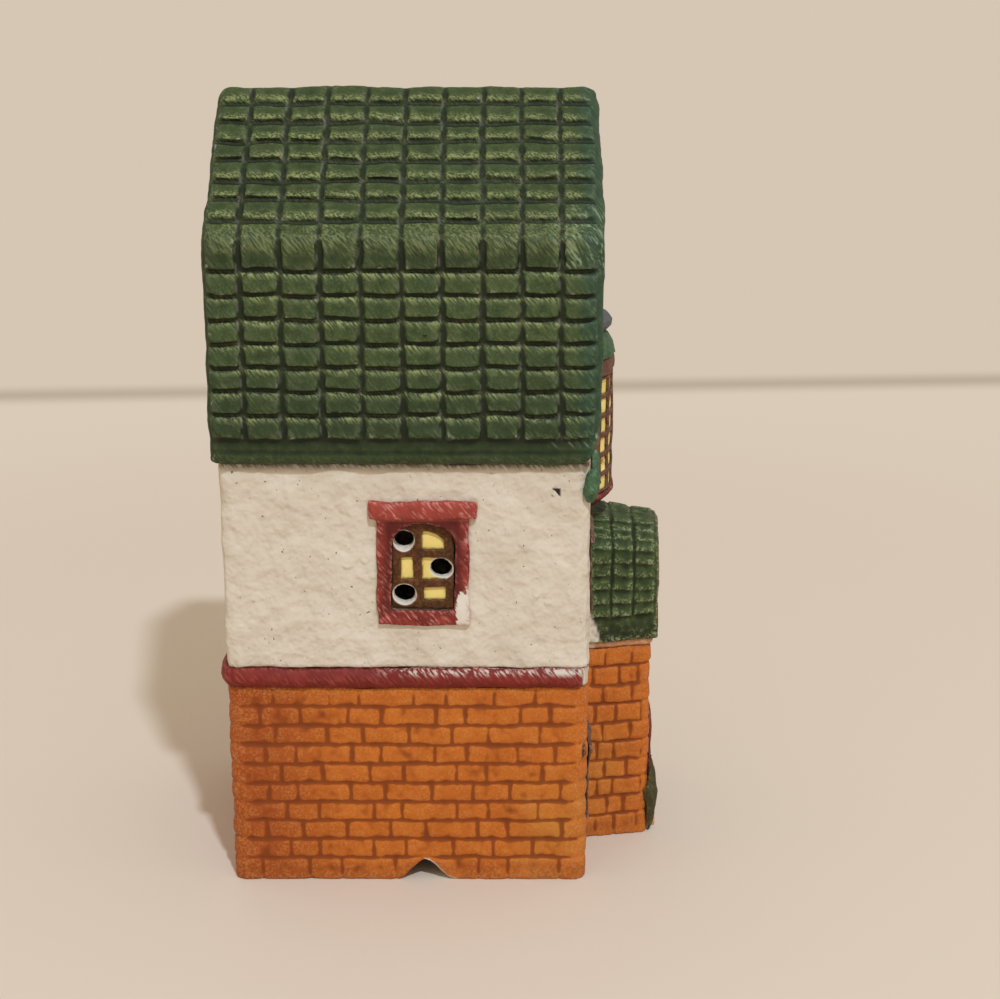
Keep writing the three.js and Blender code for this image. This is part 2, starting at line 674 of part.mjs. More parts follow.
// The raised surround with soft edges: a board round the glass, and a thicker lintel with ears
function windowSurround({ width, height, jamb, ear, lintel, base, proud }) {
  const half = width / 2 + jamb;
  const top = height + LINTEL_ABOVE_GLASS + lintel;
  const board = (halfWidth, from, to, out) => {
    const rectangle = (inset) => [
      [-halfWidth + inset, from + inset],
      [halfWidth - inset, from + inset],
      [halfWidth - inset, to - inset],
      [-halfWidth + inset, to - inset],
    ];
    return loftY([
      { at: 0, outline: rectangle(0) },
      { at: -out + SURROUND_CHAMFER, outline: rectangle(0) },
      { at: -out, outline: rectangle(SURROUND_CHAMFER) },
    ]);
  };
  const frame = board(half, -base, top - lintel / 2, proud);
  const head = board(half + ear, top - lintel, top, proud + LINTEL_BEYOND_SURROUND);
  return frame.add(head).subtract(prismY(archOutline(width, height), -WALL, WALL));
}

// A window's three pieces as one group, to be placed on a wall's face
function windowGroup(name, window, places) {
  const group = new THREE.Group();
  group.add(
    piece(name + "_surround", windowSurround(window), RED_PAINT),
    piece(name + "_sash", windowSash(window, places), SASH_PAINT),
    piece(name + "_panes", windowPanes(window, places), PANE_PAINT),
  );
  group.position.z = window.sill;
  return group;
}

// The stuccoed upper storey with both gables, which stand inside the ends of the roof
function upperStorey() {
  const gable = bothHalves(roofUnderside(LUTING_GAP, EAVE - WALL));
  const inside = prismZ(lampSpace, BAND_TOP - 1, EAVE + 1);
  const shell = prismZ(housePlan(), BAND_TOP, EAVE).subtract(inside);
  const frontGable = prismY(gable, FRONT_FACE, FRONT_FACE + WALL);
  const backGable = prismY(gable, BACK_FACE - WALL, BACK_FACE);
  const side = opening(sideWindow).translate([0, 0, sideWindow.sill]);
  const towardsFront = [SIDE_WINDOW_TOWARDS_FRONT, 0, 0];
  const towardsBack = [-SIDE_WINDOW_TOWARDS_FRONT, 0, 0];
  const bayHalf = halfAtWall(bayPlan(-BAY_SHELL));
  const low = BAY_FOOT + BAY_SHELL;
  const high = BAY_GLASS_TOP - BAY_SHELL;
  const intoBay = [[-bayHalf, low], [bayHalf, low], [bayHalf, high], [-bayHalf, high]];
  const openings = [
    side.translate(towardsFront).rotate([0, 0, -90]).translate([-SIDE_FACE, 0, 0]),
    side.translate(towardsBack).rotate([0, 0, 90]).translate([SIDE_FACE, 0, 0]),
    side.rotate([0, 0, 180]).translate([0, BACK_FACE, 0]),
    frontOpening(frontUpperWindow, -1),
    frontOpening(frontUpperWindow, 1),
    prismY(intoBay, FRONT_FACE - 1, FRONT_FACE + WALL + 1),
  ];
  return unite([shell, frontGable, backGable]).subtract(unite(openings));
}

// The bow's pierced holes, given as a column and a row
function bayPiercings() {
  const places = [[1, 1], [2, 4], [4, 2], [5, 5]];
  const pitch = BAY_GLASS_HEIGHT / BAY_ROWS;
  const drills = places.map(([column, row]) => {
    const [start, end] = bayLine.slice(column, column + 2);
    const turn = (Math.atan2(end[1] - start[1], end[0] - start[0]) * 180) / Math.PI;
    const drill = new THREE.CylinderGeometry(BAY_HOLE / 2, BAY_HOLE / 2, 4 * BAY_SHELL, HOLE_STEPS);
    const up = BAY_FOOT + (row + 0.5) * pitch;
    const middle = [(start[0] + end[0]) / 2, (start[1] + end[1]) / 2, up];
    return solidOf(drill).rotate([0, 0, turn]).translate(middle);
  });
  return unite(drills);
}

const bayPanes = () =>
  prismZ(bayPlan(), BAY_FOOT, BAY_GLASS_TOP)
    .subtract(prismZ(bayPlan(-BAY_SHELL, WALL), BAY_FOOT + BAY_SHELL, BAY_GLASS_TOP - BAY_SHELL))
    .subtract(bayPiercings());

// The bow's glazing bars: a skin over the panes, cut open over each of them
function baySash() {
  const pitch = BAY_GLASS_HEIGHT / BAY_ROWS;
  const cuts = [prismZ(bayPlan(0, 1), BAY_FOOT - 1, BAY_GLASS_TOP + 1)];
  for (let column = 0; column < BAY_COLUMNS; column++) {
    const [start, end] = bayLine.slice(column, column + 2);
    const light = strip(start, end, BAY_BAR / 2, BAY_BAR_PROUD, 4 * BAY_BAR_PROUD);
    for (let row = 0; row < BAY_ROWS; row++) {
      const low = BAY_FOOT + row * pitch + BAY_BAR / 2;
      cuts.push(prismZ(light, low, low + pitch - BAY_BAR));
    }
  }
  return prismZ(bayPlan(BAY_BAR_PROUD), BAY_FOOT, BAY_GLASS_TOP).subtract(unite(cuts));
}

// Mouldings that follow the bow's plan, given as pairs of height and growth
const bayMoulding = (from, profile) =>
  loftZ(profile.map(([up, grow]) => ({ at: from + up, outline: bayPlan(grow) })));

const bayCorbel = () =>
  bayMoulding(BAY_FOOT - BAY_CORBEL_HEIGHT, [
    [0, -BAY_CORBEL_TAPER],
    [BAY_CORBEL_HEIGHT * 0.55, 0],
    [BAY_CORBEL_HEIGHT * 0.75, BAY_TRIM_PROUD],
    [BAY_CORBEL_HEIGHT, BAY_TRIM_PROUD],
  ]);

// The bow's head, with a lintel behind it that reaches over a jamb down the wall at each end
function bayFrame() {
  const lintelHeight = BAY_HEAD_HEIGHT * 0.4;
  const head = bayMoulding(BAY_GLASS_TOP, [
    [0, BAY_BAR_PROUD],
    [BAY_HEAD_HEIGHT * 0.2, BAY_TRIM_PROUD],
    [BAY_HEAD_HEIGHT * 0.5, BAY_TRIM_PROUD],
    [BAY_HEAD_HEIGHT, BAY_BAR_PROUD],
  ]);
  const proud = FRONT_FACE - BAY_JAMB_PROUD;
  const across = [[-bayOuter, proud], [bayOuter, proud], [bayOuter, FRONT_FACE], [-bayOuter, FRONT_FACE]];
  const lintel = prismZ(across, BAY_GLASS_TOP, BAY_GLASS_TOP + lintelHeight);
  const jamb = [
    [bayOuter - BAY_JAMB_WIDTH, proud],
    [bayOuter - LUTING_GAP, proud],
    [bayOuter, proud + LUTING_GAP],
    [bayOuter, FRONT_FACE],
    [bayOuter - BAY_JAMB_WIDTH, FRONT_FACE],
  ];
  const right = prismZ(jamb, BAY_FOOT, BAY_GLASS_TOP + lintelHeight / 2);
  return unite([head, lintel, right, right.mirror([1, 0, 0])]);
}

const bayHood = () =>
  bayMoulding(BAY_GLASS_TOP + BAY_HEAD_HEIGHT, [
    [0, BAY_TRIM_PROUD],
    [BAY_HOOD_HEIGHT * 0.35, BAY_BAR_PROUD],
    [BAY_HOOD_HEIGHT * 0.8, -BAY_HOOD_TAPER / 3],
    [BAY_HOOD_HEIGHT, -BAY_HOOD_TAPER],
  ]);

// The rounded cap over the hood: half of a squat ball that backs onto the gable
function bayCap() {
  const steps = 5;
  const waist = 0.25 * Math.PI;
  const profile = [new THREE.Vector2(0, 0)];
  for (let i = 0; i < steps; i++) {
    const angle = -waist + ((Math.PI / 2 + waist) * i) / steps;
    const up = (Math.sin(angle) + Math.sin(waist)) / (1 + Math.sin(waist));
    profile.push(new THREE.Vector2(BAY_CAP_RADIUS * Math.cos(angle), up * BAY_CAP_HEIGHT));
  }
  profile.push(new THREE.Vector2(0, BAY_CAP_HEIGHT));
  const ball = solidOf(new THREE.LatheGeometry(profile, 14)).rotate([90, 0, 0]);
  const foot = BAY_GLASS_TOP + BAY_HEAD_HEIGHT + BAY_HOOD_HEIGHT;
  return ball.intersect(spaceInFront()).translate([0, FRONT_FACE, foot]);
}

// The porch's plan as a line from wall to wall, with "steps" facets round each street corner
function porchLine(steps) {
  const lean = Math.atan2(PORCH_HALF_AT_WALL - PORCH_HALF_AT_FRONT, PORCH_PROJECTION);
  const turn = Math.PI / 2 - lean;
  const radius = steps ? PORCH_CORNER_RADIUS : 0;
  const centreX = PORCH_HALF_AT_FRONT - radius * Math.tan(turn / 2);
  const right = [];
  for (let i = 0; i <= steps; i++) {
    const angle = (steps ? (turn * i) / steps : 0) - Math.PI / 2;
    const y = STREET_FACE + radius * (1 + Math.sin(angle));
    right.push([centreX + radius * Math.cos(angle), y]);
  }
  right.push([PORCH_HALF_AT_WALL, FRONT_FACE]);
  return [...mirrored(right).reverse(), ...right];
}

const porchPlan = (grow) => frontPlan(porchLine(2), grow);
const porchInside = frontPlan(porchLine(0), -PORCH_WALL, 1);

// The door's arch, swept back through the porch's street wall from its outer face
const doorway = (grow, from, to) =>
  prismY(archOutline(DOOR_WIDTH, DOOR_HEIGHT, grow), from, to).translate([0, STREET_FACE, DOOR_STEP_HEIGHT]);

// The porch: three brick walls with an arch for the door, standing against the house
function porchWalls() {
  const corners = frontPlan(porchLine(0));
  const joints = corners.slice(1).flatMap((corner, i) =>
    perpends(corners[i], corner, PORCH_BRICK_HEIGHT, PORCH_COURSES, PORCH_BRICK_LENGTH),
  );
  const cuts = [
    ...joints,
    prismZ(porchInside, -1, PORCH_BRICK_HEIGHT + 1),
    doorway(LUTING_GAP, -1, PORCH_WALL + 1),
  ];
  return coursedBlock(porchPlan, PORCH_BRICK_HEIGHT, PORCH_COURSES).subtract(unite(cuts));
}

// The peach band that carries the porch roof
const porchBand = () =>
  loftZ([
    { at: PORCH_BRICK_HEIGHT, outline: porchPlan(0) },
    { at: PORCH_BRICK_HEIGHT + PORCH_BAND_HEIGHT / 2, outline: porchPlan(PORCH_BAND_PROUD) },
    { at: PORCH_ROOF_FOOT, outline: porchPlan(PORCH_BAND_PROUD) },
  ]).subtract(prismZ(porchInside, PORCH_BRICK_HEIGHT - 1, PORCH_ROOF_FOOT + 1));

// The porch roof's half section at a distance from the house, drawn in by "inset": an upright flank
// that rounds over into the crown. Tiled, its rows lap like the main roof's.
function porchRoofHalf(distance, inset, isTiled, foot) {
  const taper = (PORCH_HALF_AT_WALL - PORCH_HALF_AT_FRONT) / PORCH_PROJECTION;
  const half = PORCH_HALF_AT_WALL + PORCH_ROOF_OVERHANG - taper * distance - inset;
  const fall = (PORCH_ROOF_FALL * distance) / (PORCH_PROJECTION + PORCH_ROOF_OVERHANG);
  const shoulder = PORCH_ROOF_HEIGHT - fall - inset - PORCH_CROWN;
  const line = [[half, foot]];
  const rows = isTiled ? PORCH_TILE_ROWS : 0;
  const pitch = (shoulder - PORCH_FASCIA) / PORCH_TILE_ROWS;
  for (let row = 0; row < rows; row++) {
    const edge = PORCH_FASCIA + row * pitch;
    line.push([half + (row ? PORCH_TILE_HEAD : 0), edge]);
    line.push([half + PORCH_TILE_LIP, edge + TILE_STEP]);
  }
  const onCrown = (angle, proud) => [
    (half + proud) * Math.cos(angle) ** 0.7,
    shoulder + (PORCH_CROWN + proud) * Math.sin(angle) ** 0.8,
  ];
  const skin = isTiled ? PORCH_TILE_HEAD : 0;
  for (let row = 0; row < PORCH_CROWN_ROWS; row++) {
    const angle = ((row / PORCH_CROWN_ROWS) * Math.PI) / 2;
    line.push(onCrown(angle, skin));
    if (isTiled) line.push(onCrown(angle + TILE_STEP / PORCH_CROWN, PORCH_TILE_LIP));
  }
  line.push([0, shoulder + PORCH_CROWN + skin]);
  return line;
}

// A length of the porch roof, from one distance from the house to another
function porchRoofRun(from, to, inset = 0, isTiled = false, foot = 0) {
  const section = (distance) => bothHalves(porchRoofHalf(distance, inset, isTiled, foot));
  return loftY([
    { at: FRONT_FACE - from, outline: section(from) },
    { at: FRONT_FACE - to, outline: section(to) },
  ]).translate([0, 0, PORCH_ROOF_FOOT]);
}

function porchRoof() {
  const reach = PORCH_PROJECTION + PORCH_ROOF_OVERHANG;
  const pitch = (reach - 2 * PORCH_VERGE + PORCH_TILE_GROOVE) / PORCH_TILE_COLUMNS;
  const runs = [porchRoofRun(0, reach)];
  for (let column = 0; column < PORCH_TILE_COLUMNS; column++) {
    const from = PORCH_VERGE + column * pitch;
    runs.push(porchRoofRun(from, from + pitch - PORCH_TILE_GROOVE, 0, true));
  }
  const hollow = porchRoofRun(-1, reach + 1, PORCH_ROOF_THICKNESS, false, -1);
  return unite(runs).subtract(hollow);
}

// The stuccoed gable that closes the street end of the porch roof
const porchGable = () =>
  porchRoofRun(
    PORCH_PROJECTION - PORCH_GABLE_THICKNESS,
    PORCH_PROJECTION,
    PORCH_ROOF_THICKNESS + LUTING_GAP,
  );

function doorSurround() {
  const width = DOOR_WIDTH + 2 * DOOR_SURROUND_WIDTH;
  const outline = (inset) => archOutline(width, DOOR_HEIGHT + DOOR_SURROUND_WIDTH, -inset);
  const board = loftY([
    { at: 0, outline: outline(0) },
    { at: -DOOR_SURROUND_PROUD + SURROUND_CHAMFER, outline: outline(0) },
    { at: -DOOR_SURROUND_PROUD, outline: outline(SURROUND_CHAMFER) },
  ]);
  return board.translate([0, STREET_FACE, DOOR_STEP_HEIGHT]).subtract(doorway(0, -WALL, WALL));
}

// The planked leaf
function doorLeaf() {
  const grooves = [];
  for (let i = 1; i < DOOR_PLANKS; i++) {
    const x = DOOR_WIDTH * (i / DOOR_PLANKS - 0.5);
    const half = DOOR_PLANK_GROOVE / 2;
    const groove = [[x - half, 0], [x + half, 0], [x + half, DOOR_HEIGHT], [x - half, DOOR_HEIGHT]];
    grooves.push(prismY(groove, -WALL, DOOR_RECESS + DOOR_PLANK_GROOVE));
  }
  const inPlace = unite(grooves).translate([0, STREET_FACE, DOOR_STEP_HEIGHT]);
  return doorway(0, DOOR_RECESS, PORCH_WALL).subtract(inPlace);
}

// The front half of a solid, set against the door's leaf
const onDoor = (solid, x, up) =>
  solid.intersect(spaceInFront()).translate([x, STREET_FACE + DOOR_RECESS, DOOR_STEP_HEIGHT + up]);

function doorKnob() {
  const ball = solidOf(new THREE.SphereGeometry(DOOR_KNOB_RADIUS, 8, 6));
  return onDoor(ball, DOOR_WIDTH / 2 - DOOR_KNOB_INSET, DOOR_KNOB_HEIGHT);
}

function doorWreath() {
  const ring = new THREE.TorusGeometry(WREATH_RADIUS - WREATH_ROPE, WREATH_ROPE, 6, 14);
  return onDoor(solidOf(ring).rotate([90, 0, 0]), 0, WREATH_HEIGHT);
}

const stepHalf = DOOR_WIDTH / 2 + DOOR_SURROUND_WIDTH;

function doorStep() {
  const edge = STREET_FACE - DOOR_STEP_DEPTH;
  const section = [
    [STREET_FACE, 0],
    [STREET_FACE, DOOR_STEP_HEIGHT],
    [edge + DOOR_STEP_NOSING, DOOR_STEP_HEIGHT],
    [edge, DOOR_STEP_HEIGHT - DOOR_STEP_NOSING],
    [edge, 0],
  ];
  return prismX(section, -stepHalf, stepHalf);
}

// A clipped evergreen beside the door, half sunk in the porch's street wall: fullest low down, and
// drawn to a point
function bush(side) {
  const steps = 8;
  const profile = [new THREE.Vector2(0, 0)];
  for (let i = 0; i < steps; i++) {
    const up = i / steps;
    const belly = Math.sin(Math.PI * (0.12 + 0.88 * up));
    const lumps = 1 + 0.06 * Math.sin(5 * Math.PI * up);
    profile.push(new THREE.Vector2(BUSH_RADIUS * belly * lumps, up * BUSH_HEIGHT));
  }
  profile.push(new THREE.Vector2(0, BUSH_HEIGHT));
  const beside = stepHalf + LUTING_GAP;
  const outer = beside + 4 * BUSH_RADIUS;
  const street = STREET_FACE - 4 * BUSH_RADIUS;
  const room = [[beside, street], [outer, street], [outer, FRONT_FACE], [beside, FRONT_FACE]];
  return solidOf(new THREE.LatheGeometry(profile, 12))
    .rotate([90, 0, 0])
    .translate([side * (PORCH_HALF_AT_FRONT - BUSH_INSET), STREET_FACE, 0])
    .intersect(prismZ(side > 0 ? room : mirrored(room), 0, BUSH_HEIGHT + 1))
    .subtract(prismZ(porchPlan(LUTING_GAP), -1, PORCH_BRICK_HEIGHT));
}

// A rope of greenery that sags under the eave from the house's corner to the bow, with a leafy tail
// that hangs down the corner and laps onto the side wall
function garland(side) {
  const corner = SIDE_FACE - GARLAND_RADIUS / 2;
  const inner = bayOuter + GARLAND_RADIUS + LUTING_GAP;
  const y = FRONT_FACE - GARLAND_RADIUS / 2;
  const points = [];
  const spans = 4;
  for (let i = 0; i <= spans; i++) {
    const share = i / spans;
    const z = EAVE - GARLAND_BELOW_EAVE - GARLAND_SAG * 4 * share * (1 - share);
    points.push(new THREE.Vector3(side * (corner - (corner - inner) * share), y, z));
  }
  const sides = 6;
  const rim = Array.from({ length: sides }, (_, i) => {
    const angle = (i / sides) * 2 * Math.PI;
    return new THREE.Vector2(GARLAND_RADIUS * Math.cos(angle), GARLAND_RADIUS * Math.sin(angle));
  });
  const path = { steps: 8, extrudePath: new THREE.CatmullRomCurve3(points), bevelEnabled: false };
  const rope = new THREE.ExtrudeGeometry(new THREE.Shape(rim), path);
  const tail = new THREE.SphereGeometry(GARLAND_TAIL_RADIUS, 10, 8)
    .scale(1, 1, GARLAND_TAIL_LENGTH / (2 * GARLAND_TAIL_RADIUS))
    .rotateX(Math.atan2(GARLAND_TAIL_LEAN, GARLAND_TAIL_LENGTH))
    .translate(side * SIDE_FACE, FRONT_FACE, EAVE - LUTING_GAP - GARLAND_TAIL_LENGTH / 2);
  const underEave = prismZ(housePlan(4 * GARLAND_RADIUS), 0, EAVE - LUTING_GAP);
  const house = prismZ(housePlan(LUTING_GAP), 0, EAVE);
  return solidOf(rope).add(solidOf(tail)).intersect(underEave).subtract(house);
}

// The assembly
const hotel = new THREE.Group();
hotel.name = "christmas_village_hotel";
hotel.add(
  piece("ground_storey", groundStorey(), BRICK_PAINT),
  piece("string_course", stringCourse(), RED_PAINT),
  piece("upper_storey", upperStorey(), STUCCO_PAINT),
  piece("main_roof", mainRoof(), ROOF_PAINT),
);

// A window goes onto a wall's face, moved along it, and turned so that its -Y looks outwards
function hang(name, window, places, [x, y], turn, across) {
  const wall = new THREE.Group();
  const group = windowGroup(name, window, places);
  group.position.x = across;
  wall.add(group);
  wall.position.set(x, y, 0);
  wall.rotation.z = turn;
  hotel.add(wall);
}

const THREE_HOLES = [[-1, 2], [1, 1], [-1, 0]];
const TWO_HOLES = [[1, 2], [-1, 0]];
const quarter = Math.PI / 2;
hang("left_window", sideWindow, THREE_HOLES, [-SIDE_FACE, 0], -quarter, SIDE_WINDOW_TOWARDS_FRONT);
hang("right_window", sideWindow, THREE_HOLES, [SIDE_FACE, 0], quarter, -SIDE_WINDOW_TOWARDS_FRONT);
hang("back_window", sideWindow, THREE_HOLES, [0, BACK_FACE], 2 * quarter, 0);
for (const [side, word] of [[-1, "left"], [1, "right"]]) {
  const across = side * frontWindowCentre;
  hang("front_upper_" + word + "_window", frontUpperWindow, TWO_HOLES, [0, FRONT_FACE], 0, across);
  hang("front_lower_" + word + "_window", frontLowerWindow, TWO_HOLES, [0, FRONT_FACE], 0, across);
}

hotel.add(
  piece("bay_corbel", bayCorbel(), RED_PAINT),
  piece("bay_panes", bayPanes(), PANE_PAINT),
  piece("bay_sash", baySash(), SASH_PAINT),
  piece("bay_frame", bayFrame(), RED_PAINT),
  piece("bay_hood", bayHood(), LEAF_PAINT),
  piece("bay_cap", bayCap(), CAP_PAINT),
  piece("porch_walls", porchWalls(), BRICK_PAINT),
  piece("porch_band", porchBand(), PEACH_PAINT),
  piece("porch_roof", porchRoof(), ROOF_PAINT),
  piece("porch_gable", porchGable(), STUCCO_PAINT),
  piece("door_surround", doorSurround(), RED_PAINT),
  piece("door_leaf", doorLeaf(), DOOR_PAINT),
  piece("door_knob", doorKnob(), BRASS_PAINT),
  piece("door_wreath", doorWreath(), LEAF_PAINT),
  piece("door_step", doorStep(), PEACH_PAINT),
  piece("left_bush", bush(-1), BUSH_PAINT),
  piece("right_bush", bush(1), BUSH_PAINT),
  piece("left_garland", garland(-1), LEAF_PAINT),
  piece("right_garland", garland(1), LEAF_PAINT),
);

// The origin is on the surface that the house stands on, under the middle of its outline
hotel.updateMatrixWorld(true);
const outline = new THREE.Box3().setFromObject(hotel);
hotel.position.y = -(outline.min.y + outline.max.y) / 2;

export default hotel;
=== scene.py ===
import math

import bpy
import numpy as np
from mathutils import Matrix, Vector
from mathutils.bvhtree import BVHTree


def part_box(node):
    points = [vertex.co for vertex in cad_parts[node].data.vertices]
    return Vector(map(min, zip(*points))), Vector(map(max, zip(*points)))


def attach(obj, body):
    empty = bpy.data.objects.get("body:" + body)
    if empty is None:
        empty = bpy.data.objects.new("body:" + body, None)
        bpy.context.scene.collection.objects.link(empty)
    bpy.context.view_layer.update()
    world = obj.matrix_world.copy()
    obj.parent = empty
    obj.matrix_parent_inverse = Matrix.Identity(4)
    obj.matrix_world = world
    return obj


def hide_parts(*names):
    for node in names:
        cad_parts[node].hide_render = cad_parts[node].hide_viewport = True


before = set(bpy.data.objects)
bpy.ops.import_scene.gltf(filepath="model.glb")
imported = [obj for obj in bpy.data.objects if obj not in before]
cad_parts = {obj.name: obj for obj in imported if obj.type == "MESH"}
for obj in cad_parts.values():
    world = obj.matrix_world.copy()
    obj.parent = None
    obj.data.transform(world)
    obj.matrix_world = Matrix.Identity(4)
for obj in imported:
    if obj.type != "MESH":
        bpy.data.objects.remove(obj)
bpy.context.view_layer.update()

MM = 0.001
GROUND = "ground_storey"
UPPER = "upper_storey"
ROOF = "main_roof"
SIDE_SURROUND = "left_window_surround"


def box_in_mm(node):
    """A node's lowest and highest corners, in millimetres."""
    return [np.array(corner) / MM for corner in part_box(node)]


ground_low, ground_high = box_in_mm(GROUND)
roof_low, roof_high = box_in_mm(ROOF)
window_low, window_high = box_in_mm(SIDE_SURROUND)
porch_roof_low = box_in_mm("porch_roof")[0]

LEFT_WALL = ground_low[0]
STREET_WALL = ground_low[1]
BACK_WALL = ground_high[1]
BAND_TOP = box_in_mm("string_course")[1][2]
EAVE = roof_low[2]


def linear(hex_colour):
    """A colour as painters' charts write it, in the shader's linear light."""
    channels = [int(hex_colour[i : i + 2], 16) / 255 for i in (1, 3, 5)]
    return [c / 12.92 if c <= 0.04045 else ((c + 0.055) / 1.055) ** 2.4 for c in channels] + [1.0]


def add(tree, kind, inputs=(), **settings):
    """A node with its settings, and its inputs as values or links."""
    made = tree.nodes.new(kind)
    for name, value in settings.items():
        setattr(made, name, value)
    for name, value in dict(inputs).items():
        socket = made.inputs[name]
        if isinstance(value, bpy.types.NodeSocket):
            tree.links.new(value, socket)
        else:
            socket.default_value = value
    return made


# Casting: soft shapes from the hard-edged frame. Lengths are in millimetres.

MERGED = 0.002  # corners of the frame's loose triangles that are this near are one


def only(piece):
    bpy.ops.object.select_all(action="DESELECT")
    piece.select_set(True)
    bpy.context.view_layer.objects.active = piece


def apply_all(piece):
    only(piece)
    for modifier in list(piece.modifiers):
        bpy.ops.object.modifier_apply(modifier=modifier.name)


def copy_of(node, name):
    """A node's shape as a piece of its own, with its loose triangles merged."""
    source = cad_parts[node]
    mesh = source.data.copy()
    mesh.materials.clear()
    piece = bpy.data.objects.new(name, mesh)
    bpy.context.scene.collection.objects.link(piece)
    only(piece)
    bpy.ops.object.mode_set(mode="EDIT")
    bpy.ops.mesh.select_all(action="SELECT")
    bpy.ops.mesh.remove_doubles(threshold=MERGED * MM)
    bpy.ops.mesh.customdata_custom_splitnormals_clear()
    bpy.ops.object.mode_set(mode="OBJECT")
    return piece


def clay_lumps(name, size):
    """The uneven face that a mould and a damp sponge leave on slip-cast clay."""
    texture = bpy.data.textures.new(name, "CLOUDS")
    texture.noise_scale = size * MM
    texture.noise_depth = 1
    return texture


SMALL_LUMPS = clay_lumps("small_lumps", 1.6)
LARGE_LUMPS = clay_lumps("large_lumps", 6.0)
WAVER = clay_lumps("waver", 5.5)
WAVER.cloud_type = "COLOR"
WAVER_STRENGTH = 0.55
FOOT_LEVELS = 8  # the waver grows from nothing at the foot in this many steps
FOOT_STEP = 0.7


def points_of(piece, field):
    values = np.empty(len(piece.data.vertices) * 3)
    piece.data.vertices.foreach_get(field, values)
    return values.reshape(-1, 3)


def store(piece, name, values):
    """A number for each point of a piece, which its paint reads."""
    attribute = piece.data.attributes.new(name, "FLOAT", "POINT")
    attribute.data.foreach_set("value", values.astype(np.float32))


def store_relief(piece, passes):
    """How far each point stands above (or below) the surface around it, in millimetres. Paint that
    is wiped or dry-brushed follows it."""
    points = points_of(piece, "co")
    count = len(points)
    ends = np.empty(len(piece.data.edges) * 2, dtype=np.int64)
    piece.data.edges.foreach_get("vertices", ends)
    one, other = ends.reshape(-1, 2).T
    degree = np.bincount(one, minlength=count) + np.bincount(other, minlength=count)
    level = points.copy()
    for _ in range(passes):
        around = np.stack(
            [
                np.bincount(one, level[other, axis], count)
                + np.bincount(other, level[one, axis], count)
                for axis in range(3)
            ],
            axis=1,
        )
        level = (level + around / np.maximum(degree, 1)[:, None]) / 2
    store(piece, "relief", ((points - level) * points_of(piece, "normal")).sum(axis=1) / MM)


def tree_of(mesh):
    return BVHTree.FromPolygons(
        [vertex.co for vertex in mesh.vertices], [tuple(face.vertices) for face in mesh.polygons]
    )


SHADE_AND_WASH_REACH = 0.6  # how far the painted contact shade and thin paint reach from a corner
TREES = {name: tree_of(node.data) for name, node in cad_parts.items()}


def store_meeting(piece, node):
    """How near each point is to another node, from 0 at the reach given above to 1 where they meet.
    Such corners are painted darker: painted contact shade, together with thin paint that runs in
    and dries there."""
    points = points_of(piece, "co")
    reach = SHADE_AND_WASH_REACH * MM
    near = np.full(len(points), reach)
    for name, tree in TREES.items():
        if name == node:
            continue
        low, high = (np.array(corner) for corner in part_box(name))
        close = np.all((points > low - reach) & (points < high + reach), axis=1)
        for i in np.flatnonzero(close):
            found = tree.find_nearest(points[i], near[i])
            if found[3] is not None:
                near[i] = found[3]
    store(piece, "meeting", 1 - near / reach)


MOST_TRIANGLES = 190000  # a piece with more triangles than this is thinned to it


def waver(piece):
    """Bends a piece's straight lines a little this way and that, as a hand-cut mould has them. It
    bends with its neighbours, and the foot stays flat."""
    free = piece.vertex_groups.new(name="free")
    level = np.clip(points_of(piece, "co")[:, 2] / (FOOT_STEP * MM), 0, FOOT_LEVELS).astype(int)
    for step in range(1, FOOT_LEVELS + 1):
        free.add(np.flatnonzero(level == step).tolist(), step / FOOT_LEVELS, "REPLACE")
    push = piece.modifiers.new("waver", "DISPLACE")
    push.texture = WAVER
    push.texture_coords = "GLOBAL"
    push.direction = "RGB_TO_XYZ"
    push.strength = WAVER_STRENGTH * MM
    push.vertex_group = "free"
    apply_all(piece)


def trim(piece, other, operation):
    cut = piece.modifiers.new("cut", "BOOLEAN")
    cut.operation = operation
    cut.solver = "MANIFOLD"
    cut.object = other


LUMP_LEVEL = 0.62  # the noise's level that leaves the clay where it is


def cast(
    node,
    voxel,
    material,
    slot,
    lumps=0.12,
    swell=0.25,
    smooth=2,
    passes=14,
    within=None,
    mark=None,
):
    """A node as slip-cast clay: rounded by the mould, a little lumpy, then painted. "voxel" is its
    fineness, and "lumps" and "swell" are the heights of its small and its large lumps. "smooth"
    rounds its edges, and "passes" says how wide a stretch its relief is measured against."""
    piece = copy_of(node, node + "_cast")
    if within:
        trim(piece, within, "INTERSECT")
    remesh = piece.modifiers.new("mould", "REMESH")
    remesh.mode = "VOXEL"
    remesh.voxel_size = voxel * MM
    remesh.use_smooth_shade = True
    if smooth:
        soft = piece.modifiers.new("sponge", "SMOOTH")
        soft.factor = 0.5
        soft.iterations = smooth
    for texture, strength in ((SMALL_LUMPS, lumps), (LARGE_LUMPS, swell)):
        if strength:
            push = piece.modifiers.new("lumps", "DISPLACE")
            push.texture = texture
            push.texture_coords = "GLOBAL"
            push.strength = strength * MM
            push.mid_level = LUMP_LEVEL
    apply_all(piece)
    store_relief(piece, passes)
    if mark:
        mark(piece)
    triangles = 2 * len(piece.data.polygons)
    if triangles > MOST_TRIANGLES:
        thin = piece.modifiers.new("thin", "DECIMATE")
        thin.ratio = MOST_TRIANGLES / triangles
        apply_all(piece)
    store_meeting(piece, node)
    waver(piece)
    piece.data.materials.clear()
    piece.data.materials.append(material)
    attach(piece, "root")
    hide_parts(node)


# The joints between the rows of tiles, as the frame's lips have them

